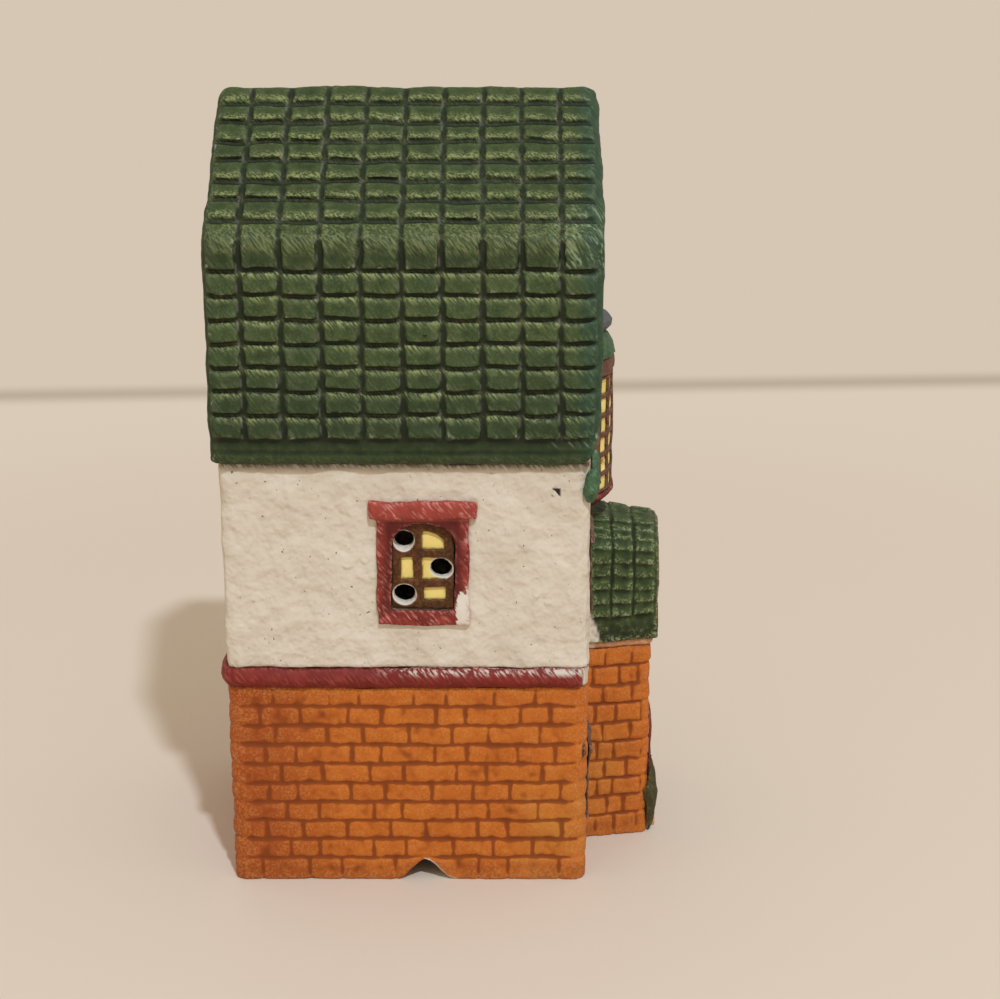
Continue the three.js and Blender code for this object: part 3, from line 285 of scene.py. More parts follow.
BREAK_HEIGHT = 108.8
RIDGE_HEIGHT = 128.8
ROOF_HALF_WIDTH = 27.0
TILE_COLUMNS = 10
TILE_ROWS = 7
TILE_GROOVE = 1.1
TILE_WANDER = 0.16
STEEP_FOOT = 77.4
STEEP_TOP = 103.8
BREAK_TILE_TURN = 3.4
JOINT_RADIUS = 0.55
JOINT_DEPTH = 0.3
JOINT_OVERLAP = 0.25
JOINT_TAPER = 0.12

# Where a dry brush touched a tile and where a painted highlight stands for light on its crest:
# shares of its height, then the painted highlight line down its street side
LIT_AND_BRUSHED_FROM_STEEP = 0.68
LIT_AND_BRUSHED_TO_SHALLOW = 0.48
FLANK_IN = 0.1
FLANK_WIDTH = 0.14
FLANK_SHEEN = 0.13


def scatter(a, b):
    return math.sin(12.9898 * a + 78.233 * b + 1.7)


def tile_edges():
    """Where each column of tiles starts along the roof, with the end of the last one."""
    first = roof_low[1] + 1.4
    last = roof_high[1] - 0.7
    pitch = (last - first + TILE_GROOVE) / TILE_COLUMNS
    wander = [2 * TILE_WANDER * scatter(column, 3) for column in range(TILE_COLUMNS + 1)]
    wander[0] = wander[-1] = 0.0
    return [first + column * pitch + wander[column] for column in range(TILE_COLUMNS + 1)]


def joint_places(column):
    """The middle of each joint across a column, as x and z on the right slope."""
    pitch = (STEEP_TOP - STEEP_FOOT) / TILE_ROWS
    for row in range(1, TILE_ROWS + 1):
        foot = STEEP_FOOT + row * pitch + TILE_WANDER * scatter(row, column)
        yield ROOF_HALF_WIDTH + JOINT_DEPTH, foot
    rise = RIDGE_HEIGHT - BREAK_HEIGHT
    length = math.hypot(rise, ROOF_HALF_WIDTH)
    up = Vector((-ROOF_HALF_WIDTH, rise)) / length
    out = Vector((rise, ROOF_HALF_WIDTH)) / length
    pitch = (length - BREAK_TILE_TURN) / TILE_ROWS
    for row in range(TILE_ROWS):
        foot = BREAK_TILE_TURN + row * pitch + TILE_WANDER * scatter(column, row)
        x, z = Vector((ROOF_HALF_WIDTH, BREAK_HEIGHT)) + foot * up + JOINT_DEPTH * out
        yield x, z


def tile_joints():
    """One round bar with tapered ends, copied into every joint, to be cut out of the roof."""
    bpy.ops.object.select_all(action="DESELECT")
    bpy.ops.mesh.primitive_cylinder_add(
        vertices=8, radius=JOINT_RADIUS * MM, depth=1.0, rotation=(math.pi / 2, 0, 0)
    )
    bar = bpy.context.object
    bpy.ops.object.transform_apply(rotation=True)
    bpy.ops.object.mode_set(mode="EDIT")
    bpy.ops.mesh.select_all(action="SELECT")
    bpy.ops.mesh.bevel(offset=JOINT_TAPER * MM, offset_type="OFFSET", segments=1)
    bpy.ops.object.mode_set(mode="OBJECT")
    edges = tile_edges()
    bars = []
    for column in range(TILE_COLUMNS):
        start = edges[column] - JOINT_OVERLAP
        end = edges[column + 1] - TILE_GROOVE + JOINT_OVERLAP
        for x, z in joint_places(column):
            for side in (-1, 1):
                copy = bpy.data.objects.new("joint", bar.data.copy())
                bpy.context.scene.collection.objects.link(copy)
                copy.location = (side * x * MM, (start + end) / 2 * MM, z * MM)
                copy.scale = (1, (end - start) * MM, 1)
                bars.append(copy)
    bpy.data.objects.remove(bar)
    bpy.ops.object.select_all(action="DESELECT")
    for copy in bars:
        copy.select_set(True)
    bpy.context.view_layer.objects.active = bars[0]
    bpy.ops.object.join()
    joined = bpy.context.object
    bpy.ops.object.transform_apply(location=True, rotation=True, scale=True)
    return joined


ROOF_ROUNDING = 1.3


def roof_mould():
    """A smooth block round the whole roof with rounded edges, less the tiles' joints."""
    block = copy_of(ROOF, "roof_mould")
    bpy.ops.object.mode_set(mode="EDIT")
    bpy.ops.mesh.select_all(action="SELECT")
    bpy.ops.mesh.convex_hull()
    bpy.ops.mesh.dissolve_limited(angle_limit=math.radians(4))
    bpy.ops.mesh.select_all(action="SELECT")
    bpy.ops.mesh.bevel(offset=ROOF_ROUNDING * MM, offset_type="OFFSET", segments=4)
    bpy.ops.object.mode_set(mode="OBJECT")
    bars = tile_joints()
    trim(block, bars, "DIFFERENCE")
    apply_all(block)
    bpy.data.objects.remove(bars)
    return block


def tile_crests(piece):
    """Marks the paler parts of the tiles, partly where a dry brush touches first and partly painted
    highlight where light catches them: each tile's lower part on the shallow slopes, its upper edge
    on the steep ones, and, as painted highlight alone, a thin line down its street side, where
    light from the street falls."""
    points = points_of(piece, "co") / MM
    x, z = np.abs(points[:, 0]), points[:, 2]
    pitch = (STEEP_TOP - STEEP_FOOT) / TILE_ROWS
    share = (z - STEEP_FOOT) / pitch
    steep = np.clip((share % 1 - LIT_AND_BRUSHED_FROM_STEEP) / 0.2, 0, 1) * (share > 0)
    rise = RIDGE_HEIGHT - BREAK_HEIGHT
    length = math.hypot(rise, ROOF_HALF_WIDTH)
    along = ((ROOF_HALF_WIDTH - x) * ROOF_HALF_WIDTH + (z - BREAK_HEIGHT) * rise) / length
    pitch = (length - BREAK_TILE_TURN) / TILE_ROWS
    share = (along - BREAK_TILE_TURN) / pitch
    shallow = np.clip((LIT_AND_BRUSHED_TO_SHALLOW - share % 1) / 0.25, 0, 0.75)
    bent = np.clip((z - STEEP_TOP - 2.2) / 2.5, 0, 0.4)
    on_bend = (share < 0) & (z > STEEP_TOP)
    store(piece, "crest", np.where(on_bend, bent, np.where(share >= 0, shallow, steep)))
    # A painted highlight: a thin pale line down each tile's street-side flank, where light from the
    # street catches it, laid in porcelain white through the same mark as bare porcelain
    y = points[:, 1]
    flank = np.min([np.abs(y - edge + FLANK_IN) for edge in tile_edges()[1:-1]], axis=0)
    on_tiles = (z > STEEP_FOOT) & (z < RIDGE_HEIGHT)
    broken = np.clip(0.5 + np.sin(2.1 * z + 1.3 * y), 0, 1)
    line = np.clip(1.4 - flank / FLANK_WIDTH, 0, 1)
    store(piece, "bare_and_sheen", FLANK_SHEEN * line * on_tiles * broken)


NOTCH_WIDTH = 9.6
NOTCH_HEIGHT = 3.6
NOTCH_TOWARDS_FRONT = 2.6


def notch_rim(piece):
    """Marks the bare edge of the notch on its street side."""
    x, y, z = points_of(piece, "co").T / MM
    share = (y - (STREET_WALL + BACK_WALL) / 2 + NOTCH_TOWARDS_FRONT) / NOTCH_WIDTH
    edge = NOTCH_HEIGHT * (1 + np.cos(2 * math.pi * np.clip(share, -0.5, 0.5))) / 2
    on_street_side = (share < 0.03) & (share > -0.52) & (x < 0)
    store(piece, "bare_and_sheen", np.clip(1.6 - (z - edge) / 0.3, 0, 1) * on_street_side)


# The pierced holes, whose rims the brush left bare

HOLE_SHARES = (0.16, 0.47, 0.79)
HOLE_TO_EDGE = 0.25
DARK_FROM = 1.4
THREE_HOLES = ((-1, 2), (1, 1), (-1, 0))
TWO_HOLES = ((1, 2), (-1, 0))


def bare_rims(window, to_right, hole, places):
    """Marks the bare porcelain in and round a window's holes, and a painted shade further in, where
    the holes' inner walls would lie in shadow.
    "to_right" points along the wall as it is seen from outside."""
    low, high = box_in_mm(window + "_panes")
    width = abs((high - low) @ to_right)
    height = high[2] - low[2]
    offset = width / 2 - hole / 2 - HOLE_TO_EDGE

    def mark(piece):
        points = points_of(piece, "co") / MM
        across = (points - (low + high) / 2) @ to_right
        up = points[:, 2] - low[2]
        beyond = np.full(len(points), np.inf)
        for side, row in places:
            away = np.hypot(across - side * offset, up - HOLE_SHARES[row] * height)
            beyond = np.minimum(beyond, away - hole / 2)
        store(piece, "bare_and_sheen", np.clip(1.5 - beyond / 0.15, 0, 1))
        outward = np.array((to_right[1], -to_right[0], 0.0))
        depth = (points @ outward).max() - points @ outward
        # Painted shade on the holes' inner walls beyond DARK_FROM, where the inside of the house
        # gives no light
        store(piece, "deep", np.clip((depth - DARK_FROM) / 0.2, 0, 1) * (beyond < 0.4))

    return mark


def board_insets(window, to_right):
    """Marks how far in from the outer edge of a window's boards each point is, in millimetres."""
    low, high = box_in_mm(window + "_surround")
    centre = (low + high) / 2
    half = abs((high - low) @ to_right) / 2

    def mark(piece):
        points = points_of(piece, "co") / MM
        sideways = half - np.abs((points - centre) @ to_right)
        upright = np.minimum(points[:, 2] - low[2], high[2] - points[:, 2])
        store(piece, "inset", np.minimum(sideways, upright))

    return mark


# Paints


def new_material(name):
    material = bpy.data.materials.new(name)
    material.use_nodes = True
    tree = material.node_tree
    tree.nodes.clear()
    return material, tree


def between(tree, coordinate, low, high, soft):
    """1 where a coordinate is between two places in millimetres, fading out over "soft" of them."""
    edges = []
    for place, outside, inside in ((low, 0.0, 1.0), (high, 1.0, 0.0)):
        edge = add(
            tree,
            "ShaderNodeMapRange",
            {
                "Value": coordinate,
                "From Min": (place - soft) * MM,
                "From Max": (place + soft) * MM,
                "To Min": outside,
                "To Max": inside,
            },
            interpolation_type="SMOOTHSTEP",
        )
        edges.append(edge.outputs[0])
    return add(tree, "ShaderNodeMath", {0: edges[0], 1: edges[1]}, operation="MULTIPLY").outputs[0]


def lay(tree, under, paint, *masks):
    """A paint laid over another, as strongly as all its masks from 0 to 1 let it."""
    strength = masks[0]
    for mask in masks[1:]:
        both = add(tree, "ShaderNodeMath", {0: strength, 1: mask}, operation="MULTIPLY")
        strength = both.outputs[0]
    mixed = add(tree, "ShaderNodeMix", {0: strength, 6: under, 7: linear(paint)}, data_type="RGBA")
    return mixed.outputs[2]


def cloud(tree, place, size, low, high, detail=2.0, roughness=0.5):
    """Patches about "size" millimetres wide, from 0 below one level of noise to 1 above another."""
    noise = add(
        tree,
        "ShaderNodeTexNoise",
        {"Vector": place, "Scale": 1 / (size * MM), "Detail": detail, "Roughness": roughness},
    )
    return add(
        tree, "ShaderNodeMapRange", {"Value": noise.outputs[0], "From Min": low, "From Max": high}
    ).outputs[0]


def marked(tree, name, low, high):
    """0 where a piece's points carry one value of a mark and 1 where they carry another."""
    mark = add(tree, "ShaderNodeAttribute", attribute_name=name).outputs["Fac"]
    return add(
        tree, "ShaderNodeMapRange", {"Value": mark, "From Min": low, "From Max": high}
    ).outputs[0]


BISQUE = "#ddd3c4"
STROKE_ANGLE = math.radians(-38)
STROKE_LENGTH = 7  # times as long as it is wide


def painted_bisque(
    name,
    body,
    patches,
    wash,
    brush,
    wash_from=-0.02,
    wash_to=-0.12,
    wash_cover=0.85,
    corner_from=0.2,
    corner_cover=0.7,
    brush_from=0.02,
    brush_to=0.12,
    brush_cover=0.6,
    streaks=True,
    patch_size=5.0,
    chips=0.8,
    specks=0.0,
    stipple=0.0,
    roughness=0.62,
    extra=None,
    grain=0.5,
    sponged=False,
):
    """Acrylic paint on unglazed porcelain. A thin dark wash stays in the hollows, a dry brush
    leaves pale slanting streaks on what stands out, and rubbed edges show the white body. Where two
    pieces meet it is darker, partly painted contact shade and partly wash. The bare mark lays the
    white body, and on the roof painted highlights as well, and the deep mark lays a painted shade
    in the windows' holes. Relief is in millimetres, and "cover" is how much of the paint below is
    hidden."""
    material, tree = new_material(name)
    place = add(tree, "ShaderNodeTexCoord").outputs["Object"]
    x, y, z = add(tree, "ShaderNodeSeparateXYZ", {0: place}).outputs
    slanting = add(
        tree,
        "ShaderNodeMapping",
        {"Vector": place, "Rotation": (STROKE_ANGLE, 0.2, 0), "Scale": (1, 1, STROKE_LENGTH)},
        vector_type="TEXTURE",
    ).outputs[0]
    colour = lay(tree, linear(body), patches, cloud(tree, place, patch_size, 0.38, 0.62))
    colour = lay(tree, colour, patches, cloud(tree, place, patch_size / 4, 0.35, 0.75, 3.0), 0.45)
    if stipple:
        colour = lay(tree, colour, wash, cloud(tree, place, 0.5, 0.42, 0.58, 4.0, 0.7), stipple)
    if extra:
        colour = extra(tree, place, slanting, x, y, z, colour)
    colour = lay(tree, colour, wash, marked(tree, "relief", wash_from, wash_to), wash_cover)
    # Painted contact shade where two pieces meet, together with the wash that gathers in such
    # corners
    corner = cloud(tree, place, 1.2, 0.3, 0.55, 3.0)
    in_corner = marked(tree, "meeting", corner_from, 0.9)
    colour = lay(tree, colour, wash, in_corner, corner, corner_cover)
    raised = marked(tree, "relief", brush_from, brush_to)
    grained = cloud(tree, slanting if streaks else place, 0.4, 0.44, 0.62, 3.0)
    colour = lay(tree, colour, brush, raised, grained, brush_cover)
    rubbed = marked(tree, "relief", brush_to, 2 * brush_to)
    colour = lay(tree, colour, BISQUE, rubbed, cloud(tree, place, 1.3, 0.58, 0.66, 4.0), chips)
    if specks:
        colour = lay(tree, colour, "#54483e", cloud(tree, place, 0.7, 0.755, 0.775, 1.0), specks)
    # Bare porcelain where the paint was kept off or worn away, and on the roof a painted highlight
    # laid in the same white
    bare_and_sheen = add(tree, "ShaderNodeAttribute", attribute_name="bare_and_sheen").outputs["Fac"]
    colour = lay(tree, colour, BISQUE, bare_and_sheen)
    # Painted shade deep in the windows' holes, where the unlit inside of the house gives no light
    colour = lay(tree, colour, "#17120e", marked(tree, "deep", 0, 1))
    fine = add(
        tree, "ShaderNodeTexNoise", {"Vector": place, "Scale": 1 / (0.22 * MM), "Detail": 3.0}
    ).outputs[0]
    chalky = {"Height": fine, "Distance": 0.05 * MM, "Strength": grain}
    bump = add(tree, "ShaderNodeBump", chalky).outputs[0]
    if sponged:
        bump = sponge_lumps(tree, place, bump)
    dull = add(
        tree,
        "ShaderNodeMapRange",
        {
            "Value": fine,
            "From Min": 0.3,
            "From Max": 0.7,
            "To Min": roughness - 0.08,
            "To Max": roughness + 0.1,
        },
    ).outputs[0]
    shader = add(
        tree,
        "ShaderNodeBsdfPrincipled",
        {"Base Color": colour, "Roughness": dull, "Specular IOR Level": 0.25, "Normal": bump},
    )
    add(tree, "ShaderNodeOutputMaterial", {"Surface": shader.outputs[0]})
    return material


def sponge_lumps(tree, place, bump):
    """Scattered round drops that a sponge leaves in thick paint, about 1.2 mm across, on a gently
    uneven ground with dimples about 2.6 mm apart."""
    bent = add(
        tree, "ShaderNodeTexNoise", {"Vector": place, "Scale": 1 / (1.5 * MM), "Detail": 1.0}
    ).outputs["Color"]
    drifted = add(
        tree,
        "ShaderNodeMix",
        {0: 0.0006, 4: place, 5: bent},
        data_type="VECTOR",
    ).outputs[1]
    cells = add(tree, "ShaderNodeTexVoronoi", {"Vector": drifted, "Scale": 1 / (2.1 * MM)})
    drop = add(
        tree,
        "ShaderNodeMapRange",
        {
            "Value": cells.outputs["Distance"],
            "From Min": 0.0,
            "From Max": 0.45,
            "To Min": 1.0,
            "To Max": 0.0,
        },
        interpolation_type="SMOOTHSTEP",
    ).outputs[0]
    share = add(tree, "ShaderNodeSeparateXYZ", {0: cells.outputs["Color"]}).outputs[0]
    present = add(
        tree, "ShaderNodeMapRange", {"Value": share, "From Min": 0.5, "From Max": 0.9}
    ).outputs[0]
    drops = add(tree, "ShaderNodeMath", {0: drop, 1: present}, operation="MULTIPLY").outputs[0]
    uneven = cloud(tree, place, 2.6, 0.2, 0.8, 2.0)
    for height, depth in ((uneven, 0.48), (drops, 0.28)):
        bump = add(
            tree, "ShaderNodeBump", {"Height": height, "Distance": depth * MM, "Normal": bump}
        ).outputs[0]
    return bump


# Single marks on the walls: heights, and distances from a wall's outer face
LINE_FROM = 23
FLAKE_HEIGHTS = (21.8, 24.6)
CHIP_HEIGHTS = (67.4, 68.8)
CHIP_FROM_STREET = (4.9, 6.3)
INNER_WALL = 2.6


def corner_line(tree, place, x, y, z, colour):
    """The bare porcelain line down the left street corner, where no colour was laid."""
    side = between(tree, y, STREET_WALL - 1, STREET_WALL + 0.45, 0.2)
    corner = between(tree, x, LEFT_WALL - 2, LEFT_WALL + 0.9, 0.2)
    height = between(tree, z, LINE_FROM, BAND_TOP + 4, 2)
    return lay(tree, colour, BISQUE, side, corner, height, cloud(tree, place, 1.6, 0.4, 0.5, 2.0))


def brick_colours(tree, place, slanting, x, y, z, colour):
    """Redder bricks by the back corner, paler ones low down by the street, a bare line on the left
    street corner with one dark flake below it, and bare porcelain inside."""
    red = between(tree, y, BACK_WALL - 13, BACK_WALL + 20, 8)
    colour = lay(tree, colour, "#943f14", red, 0.75)
    low_down = between(tree, z, -5, 17, 6)
    by_street = between(tree, y, STREET_WALL - 5, STREET_WALL + 10, 5)
    patchy = cloud(tree, place, 6.0, 0.3, 0.7)
    colour = lay(tree, colour, "#bd8030", low_down, by_street, patchy, 0.7)
    colour = lay(tree, colour, "#5e2a0d", marked(tree, "relief", -0.08, -0.16), 0.8)
    foot = between(tree, z, -3, 3.2, 1.2)
    colour = lay(tree, colour, "#94481a", foot, cloud(tree, place, 3.0, 0.3, 0.6), 0.6)
    colour = corner_line(tree, place, x, y, z, colour)
    flake_side = between(tree, y, STREET_WALL - 1, STREET_WALL + 1.0, 0.15)
    flake_face = between(tree, x, LEFT_WALL - 2, LEFT_WALL + 1, 0.15)
    flake_height = between(tree, z, *FLAKE_HEIGHTS, 0.5)
    flake = cloud(tree, place, 1.2, 0.4, 0.5)
    colour = lay(tree, colour, "#3a2518", flake_side, flake_face, flake_height, flake)
    return lay(tree, colour, BISQUE, *inside_house(tree, x, y))


def inside_house(tree, x, y):
    """The unpainted inner walls, which stand 3 mm within the outer ones."""
    across = between(tree, x, LEFT_WALL + INNER_WALL, -LEFT_WALL - INNER_WALL, 0.2)
    along = between(tree, y, STREET_WALL + INNER_WALL, BACK_WALL - INNER_WALL, 0.2)
    return across, along


def stucco_colours(tree, place, slanting, x, y, z, colour):
    """A thin broken dark line and a wider band of painted shade under the eaves of the side walls,
    standing for the roof's shadow there, a smooth pale margin round the side windows, one dark
    chip, and bare porcelain inside."""
    gable = between(tree, x, LEFT_WALL + 1.4, -LEFT_WALL - 1.4, 0.4)
    by_eave = add(tree, "ShaderNodeMath", {0: 1.0, 1: gable}, operation="SUBTRACT").outputs[0]
    # Painted shadow under the eave: a thin broken dark line where the roof meets the wall, then a
    # wider band of painted shade
    line = between(tree, z, EAVE - 0.6, EAVE + 0.6, 0.2)
    colour = lay(tree, colour, "#5d5347", line, by_eave, cloud(tree, place, 2.0, 0.3, 0.55), 0.85)
    shade = between(tree, z, EAVE - 1.0, EAVE + 2, 0.8)
    colour = lay(tree, colour, "#7a6c56", shade, by_eave, 0.85)
    beside = between(tree, y, window_low[1] - 0.6, window_high[1] + 0.6, 0.5)
    around = between(tree, z, window_low[2] - 0.6, window_high[2] + 0.6, 0.5)
    colour = lay(tree, colour, "#d8ccb8", beside, around, 0.8)
    bleed = marked(tree, "meeting", 0.35, 0.9)
    colour = lay(tree, colour, "#dbbfae", bleed, between(tree, z, BAND_TOP, EAVE - 2, 1), 0.6)
    near, far = CHIP_FROM_STREET
    chip_side = between(tree, y, STREET_WALL + near, STREET_WALL + far, 0.25)
    chip_height = between(tree, z, *CHIP_HEIGHTS, 0.25)
    chip_face = between(tree, x, LEFT_WALL - 2, LEFT_WALL + 2, 0.1)
    ragged = cloud(tree, slanting, 0.8, 0.4, 0.46, 2.0)
    colour = lay(tree, colour, "#231c18", chip_side, chip_height, chip_face, ragged)
    return lay(tree, colour, BISQUE, *inside_house(tree, x, y))


def roof_colours(tree, place, slanting, x, y, z, colour):
    """Darker rows by the eave and on the break, mottled faces, tiles dry-brushed and given painted
    highlights along their crests, a smooth blue-green edge on the street side, and a few scuffs."""
    mottled = cloud(tree, place, 0.4, 0.5, 0.68, 4.0, 0.65)
    colour = lay(tree, colour, "#6a7350", mottled, 0.35)
    colour = lay(tree, colour, "#26341d", between(tree, z, EAVE - 2, EAVE + 14, 9), 0.65)
    on_break = between(tree, z, STEEP_TOP - 0.5, BREAK_HEIGHT + 1.0, 1.2)
    colour = lay(tree, colour, "#232f19", on_break, 0.45)
    shallow = between(tree, z, BREAK_HEIGHT + 2, RIDGE_HEIGHT + 4, 2)
    colour = lay(tree, colour, "#2c3a1a", shallow, 0.35)
    # Pale dry brush and painted highlight together, laid in slanting streaks on the tiles' crests
    touched = cloud(tree, slanting, 0.3, 0.44, 0.6, 4.0)
    uneven = cloud(tree, place, 5.0, 0.25, 0.5)
    colour = lay(tree, colour, "#959a62", marked(tree, "crest", 0, 1), touched, uneven, 0.95)
    back = between(tree, y, roof_high[1] - 1.6, roof_high[1] + 2, 0.9)
    colour = lay(tree, colour, "#2c3a1e", back, 0.75)
    edge = between(tree, y, roof_low[1] - 2, roof_low[1] + 3.4, 1.4)
    colour = lay(tree, colour, "#2b4430", edge, 0.9)
    rubbed = cloud(tree, slanting, 0.5, 0.52, 0.66, 3.0)
    near_break = between(tree, z, BREAK_HEIGHT - 5, BREAK_HEIGHT + 4, 1.5)
    near_street = between(tree, y, roof_low[1] - 1, roof_low[1] + 8, 1.5)
    colour = lay(tree, colour, "#8fa07f", near_break, near_street, rubbed, 0.7)
    near_eave = between(tree, z, EAVE + 3.5, EAVE + 5.5, 0.8)
    return lay(tree, colour, "#97a585", near_eave, near_street, rubbed, 0.8)


def porch_roof_colours(tree, place, slanting, x, y, z, colour):
    """A brown verge where the porch roof meets the house, with pale chips, a thin one at its
    street edge, a dark foot, and a wedge of cream slip low down by the wall."""
    at_wall = between(tree, y, STREET_WALL - 0.8, STREET_WALL + 1, 0.15)
    colour = lay(tree, colour, "#5b4134", at_wall, 0.9)
    colour = lay(tree, colour, "#b98f7c", at_wall, cloud(tree, place, 0.8, 0.56, 0.62, 3.0), 0.8)
    at_street = between(tree, y, porch_roof_low[1] - 1, porch_roof_low[1] + 0.5, 0.15)
    colour = lay(tree, colour, "#5b4134", at_street, 0.8)
    foot = porch_roof_low[2]
    colour = lay(tree, colour, "#252b15", between(tree, z, foot - 1, foot + 3, 1.5), 0.85)
    for height, width in ((1.9, 2.3), (3.4, 1.9), (4.9, 1.4), (6.4, 0.8)):
        low_corner = between(tree, z, foot - 1, foot + height, 0.7)
        by_wall = between(tree, y, STREET_WALL - width, STREET_WALL + 1, 0.25)
        colour = lay(tree, colour, "#d6cab8", low_corner, by_wall)
    return colour


def porch_band_colours(tree, place, slanting, x, y, z, colour):
    """Cream that ran over from the house's wall."""
    by_wall = between(tree, y, STREET_WALL - 1.6, STREET_WALL + 1, 0.3)
    return lay(tree, colour, "#d6cab8", by_wall, cloud(tree, place, 1.4, 0.32, 0.42))


def surround_colours(tree, place, slanting, x, y, z, colour):
    """Pink strokes over the outer boards, a smooth darker red within, and on the side window a
    corner worn to the porcelain."""
    outer = marked(tree, "inset", 3.2, 1.7)
    colour = lay(tree, colour, "#521a13", marked(tree, "inset", 2.0, 3.0), 0.75)
    colour = lay(tree, colour, "#a13f33", outer, cloud(tree, place, 2.5, 0.4, 0.6), 0.6)
    top_board = between(tree, z, window_high[2] - 3.2, window_high[2] + 2, 0.2)
    colour = lay(tree, colour, "#ab4a3c", top_board, 0.5)
    patchy = cloud(tree, place, 1.6, 0.42, 0.6)
    strokes = cloud(tree, slanting, 0.4, 0.5, 0.62, 3.0)
    colour = lay(tree, colour, "#cf8b80", outer, patchy, strokes, 0.85)
    side = between(tree, x, LEFT_WALL - 3, LEFT_WALL + 3, 0.1)
    corner_y = between(tree, y, window_low[1] - 1, window_low[1] + 2.9, 1.5)
    corner_z = between(tree, z, window_low[2] - 1, window_low[2] + 5.8, 2.8)
    worn = add(tree, "ShaderNodeMath", {0: corner_y, 1: corner_z}, operation="MULTIPLY").outputs[0]
    ragged = cloud(tree, slanting, 0.5, 0.2, 0.7, 4.0)
    worn = add(tree, "ShaderNodeMath", {0: worn, 1: ragged}, operation="MULTIPLY").outputs[0]
    sharp = add(tree, "ShaderNodeMapRange", {"Value": worn, "From Min": 0.14, "From Max": 0.19})
    return lay(tree, colour, BISQUE, side, sharp.outputs[0])


def band_colours(tree, place, slanting, x, y, z, colour):
    """Bare scuffs along the top of the band, and cream on the street front, where it lies flush."""
    top = between(tree, z, BAND_TOP - 1.0, BAND_TOP + 1, 0.5)
    worn = between(tree, y, STREET_WALL + 4, STREET_WALL + 33, 3)
    colour = lay(tree, colour, BISQUE, top, worn, cloud(tree, slanting, 0.4, 0.48, 0.62, 4.0), 0.8)
    by_corner = between(tree, y, STREET_WALL, STREET_WALL + 7, 1)
    ragged = cloud(tree, slanting, 0.6, 0.45, 0.55, 3.0)
    colour = lay(tree, colour, BISQUE, top, by_corner, ragged, 0.8)
    front = between(tree, y, STREET_WALL - 2, STREET_WALL + 1.0, 0.2)
    return lay(tree, colour, "#d3c7b3", front)


# Matt acrylic, brushed on unglazed porcelain: deep green, near black in the joints between the
# tiles and pale where a dry brush crossed them; on the main roof also painted highlights on the
# tiles' crests and street-side flanks
GREENS = ("#414e28", "#344320", "#171d0f", "#8a9468")
GREEN_TILES = painted_bisque(
    "green_acrylic_on_bisque",
    *GREENS,
    wash_from=0.03,
    patch_size=4.0,
    chips=0.3,
    brush_cover=0.2,
    extra=roof_colours,
)
GREEN_PORCH_TILES = painted_bisque(
    "green_acrylic_on_porch_tiles",
    *GREENS,
    wash_from=0.0,
    wash_to=-0.08,
    brush_from=0.0,
    brush_to=0.08,
    brush_cover=0.85,
    streaks=False,
    patch_size=3.0,
    chips=0.3,
    extra=porch_roof_colours,
)
# Cream acrylic dabbed on thickly with a sponge: dimples and a few round drops, a chalky face and
# a few dark specks
CREAM_STUCCO = painted_bisque(
    "cream_acrylic_on_bisque",
    "#dacdbb",
    "#d2c4b0",
    "#94866f",
    "#e0d5c5",
    wash_cover=0.4,
    corner_cover=0.0,
    specks=0.8,
    chips=0.2,
    grain=0.2,
    patch_size=9.0,
    sponged=True,
    extra=stucco_colours,
)
# Terracotta acrylic, thin over the bricks and thicker and redder in the joints
BRICK = painted_bisque(
    "terracotta_acrylic_on_bisque",
    "#c1681e",
    "#b65d18",
    "#7d3a10",
    "#cc8a48",
    wash_from=0.03,
    wash_to=-0.04,
    wash_cover=0.85,
    brush_from=0.0,
    brush_to=0.08,
    brush_cover=0.4,
    streaks=False,
    chips=0.05,
    specks=0.25,
    extra=brick_colours,
)
# Deep red acrylic on the band, with bare scuffs along its top
RED_BAND = painted_bisque(
    "red_acrylic_on_band",
    "#7f261d",
    "#712018",
    "#43110c",
    "#a8574a",
    patch_size=4.0,
    extra=band_colours,
)
# Duller red acrylic on the door's surround and under the bow, rubbed bare on its edges
RED_TRIM = painted_bisque(
    "red_acrylic_on_bisque", "#70271f", "#61221b", "#3c130e", "#b8695c", chips=0.6, patch_size=3.0
)
# The same red on the window boards, streaked with pink by a nearly dry brush
STREAKED_RED = painted_bisque(
    "streaked_red_acrylic_on_bisque",
    "#78281f",
    "#6b2119",
    "#3b140e",
    "#c0746a",
    chips=0.5,
    patch_size=3.0,
    extra=surround_colours,
)
# Brown acrylic on the boards of the small street windows, chipped along its edges
BROWN_BOARDS = painted_bisque(
    "brown_acrylic_on_boards",
    "#634636",
    "#56392b",
    "#2f1f17",
    "#b18a78",
    chips=0.7,
    patch_size=1.5,
)
# Brown acrylic stippled on the glazing bars, uneven and dull
BROWN_BARS = painted_bisque(
    "brown_acrylic_on_bisque",
    "#70411c",
    "#5b3414",
    "#2f1d12",
    "#94794f",
    corner_cover=0.35,
    stipple=0.75,
    patch_size=1.2,
    chips=0.1,
    brush_cover=0.4,
)
# Reddish brown acrylic on the bow's bars and frame
BOW_BARS = painted_bisque(
    "reddish_brown_acrylic_on_bisque",
    "#76503f",
    "#684334",
    "#3a221a",
    "#9c7460",
    stipple=0.4,
    patch_size=1.2,
)
# Flat pale yellow acrylic on the panes
YELLOW_PANES = painted_bisque(
    "yellow_acrylic_on_bisque",
    "#f2da84",
    "#eed278",
    "#8f6a2a",
    "#f2e29c",
    patch_size=2.5,
    chips=0.0,
    wash_cover=0.4,
    corner_from=0.6,
    corner_cover=0.9,
    brush_cover=0.2,
)
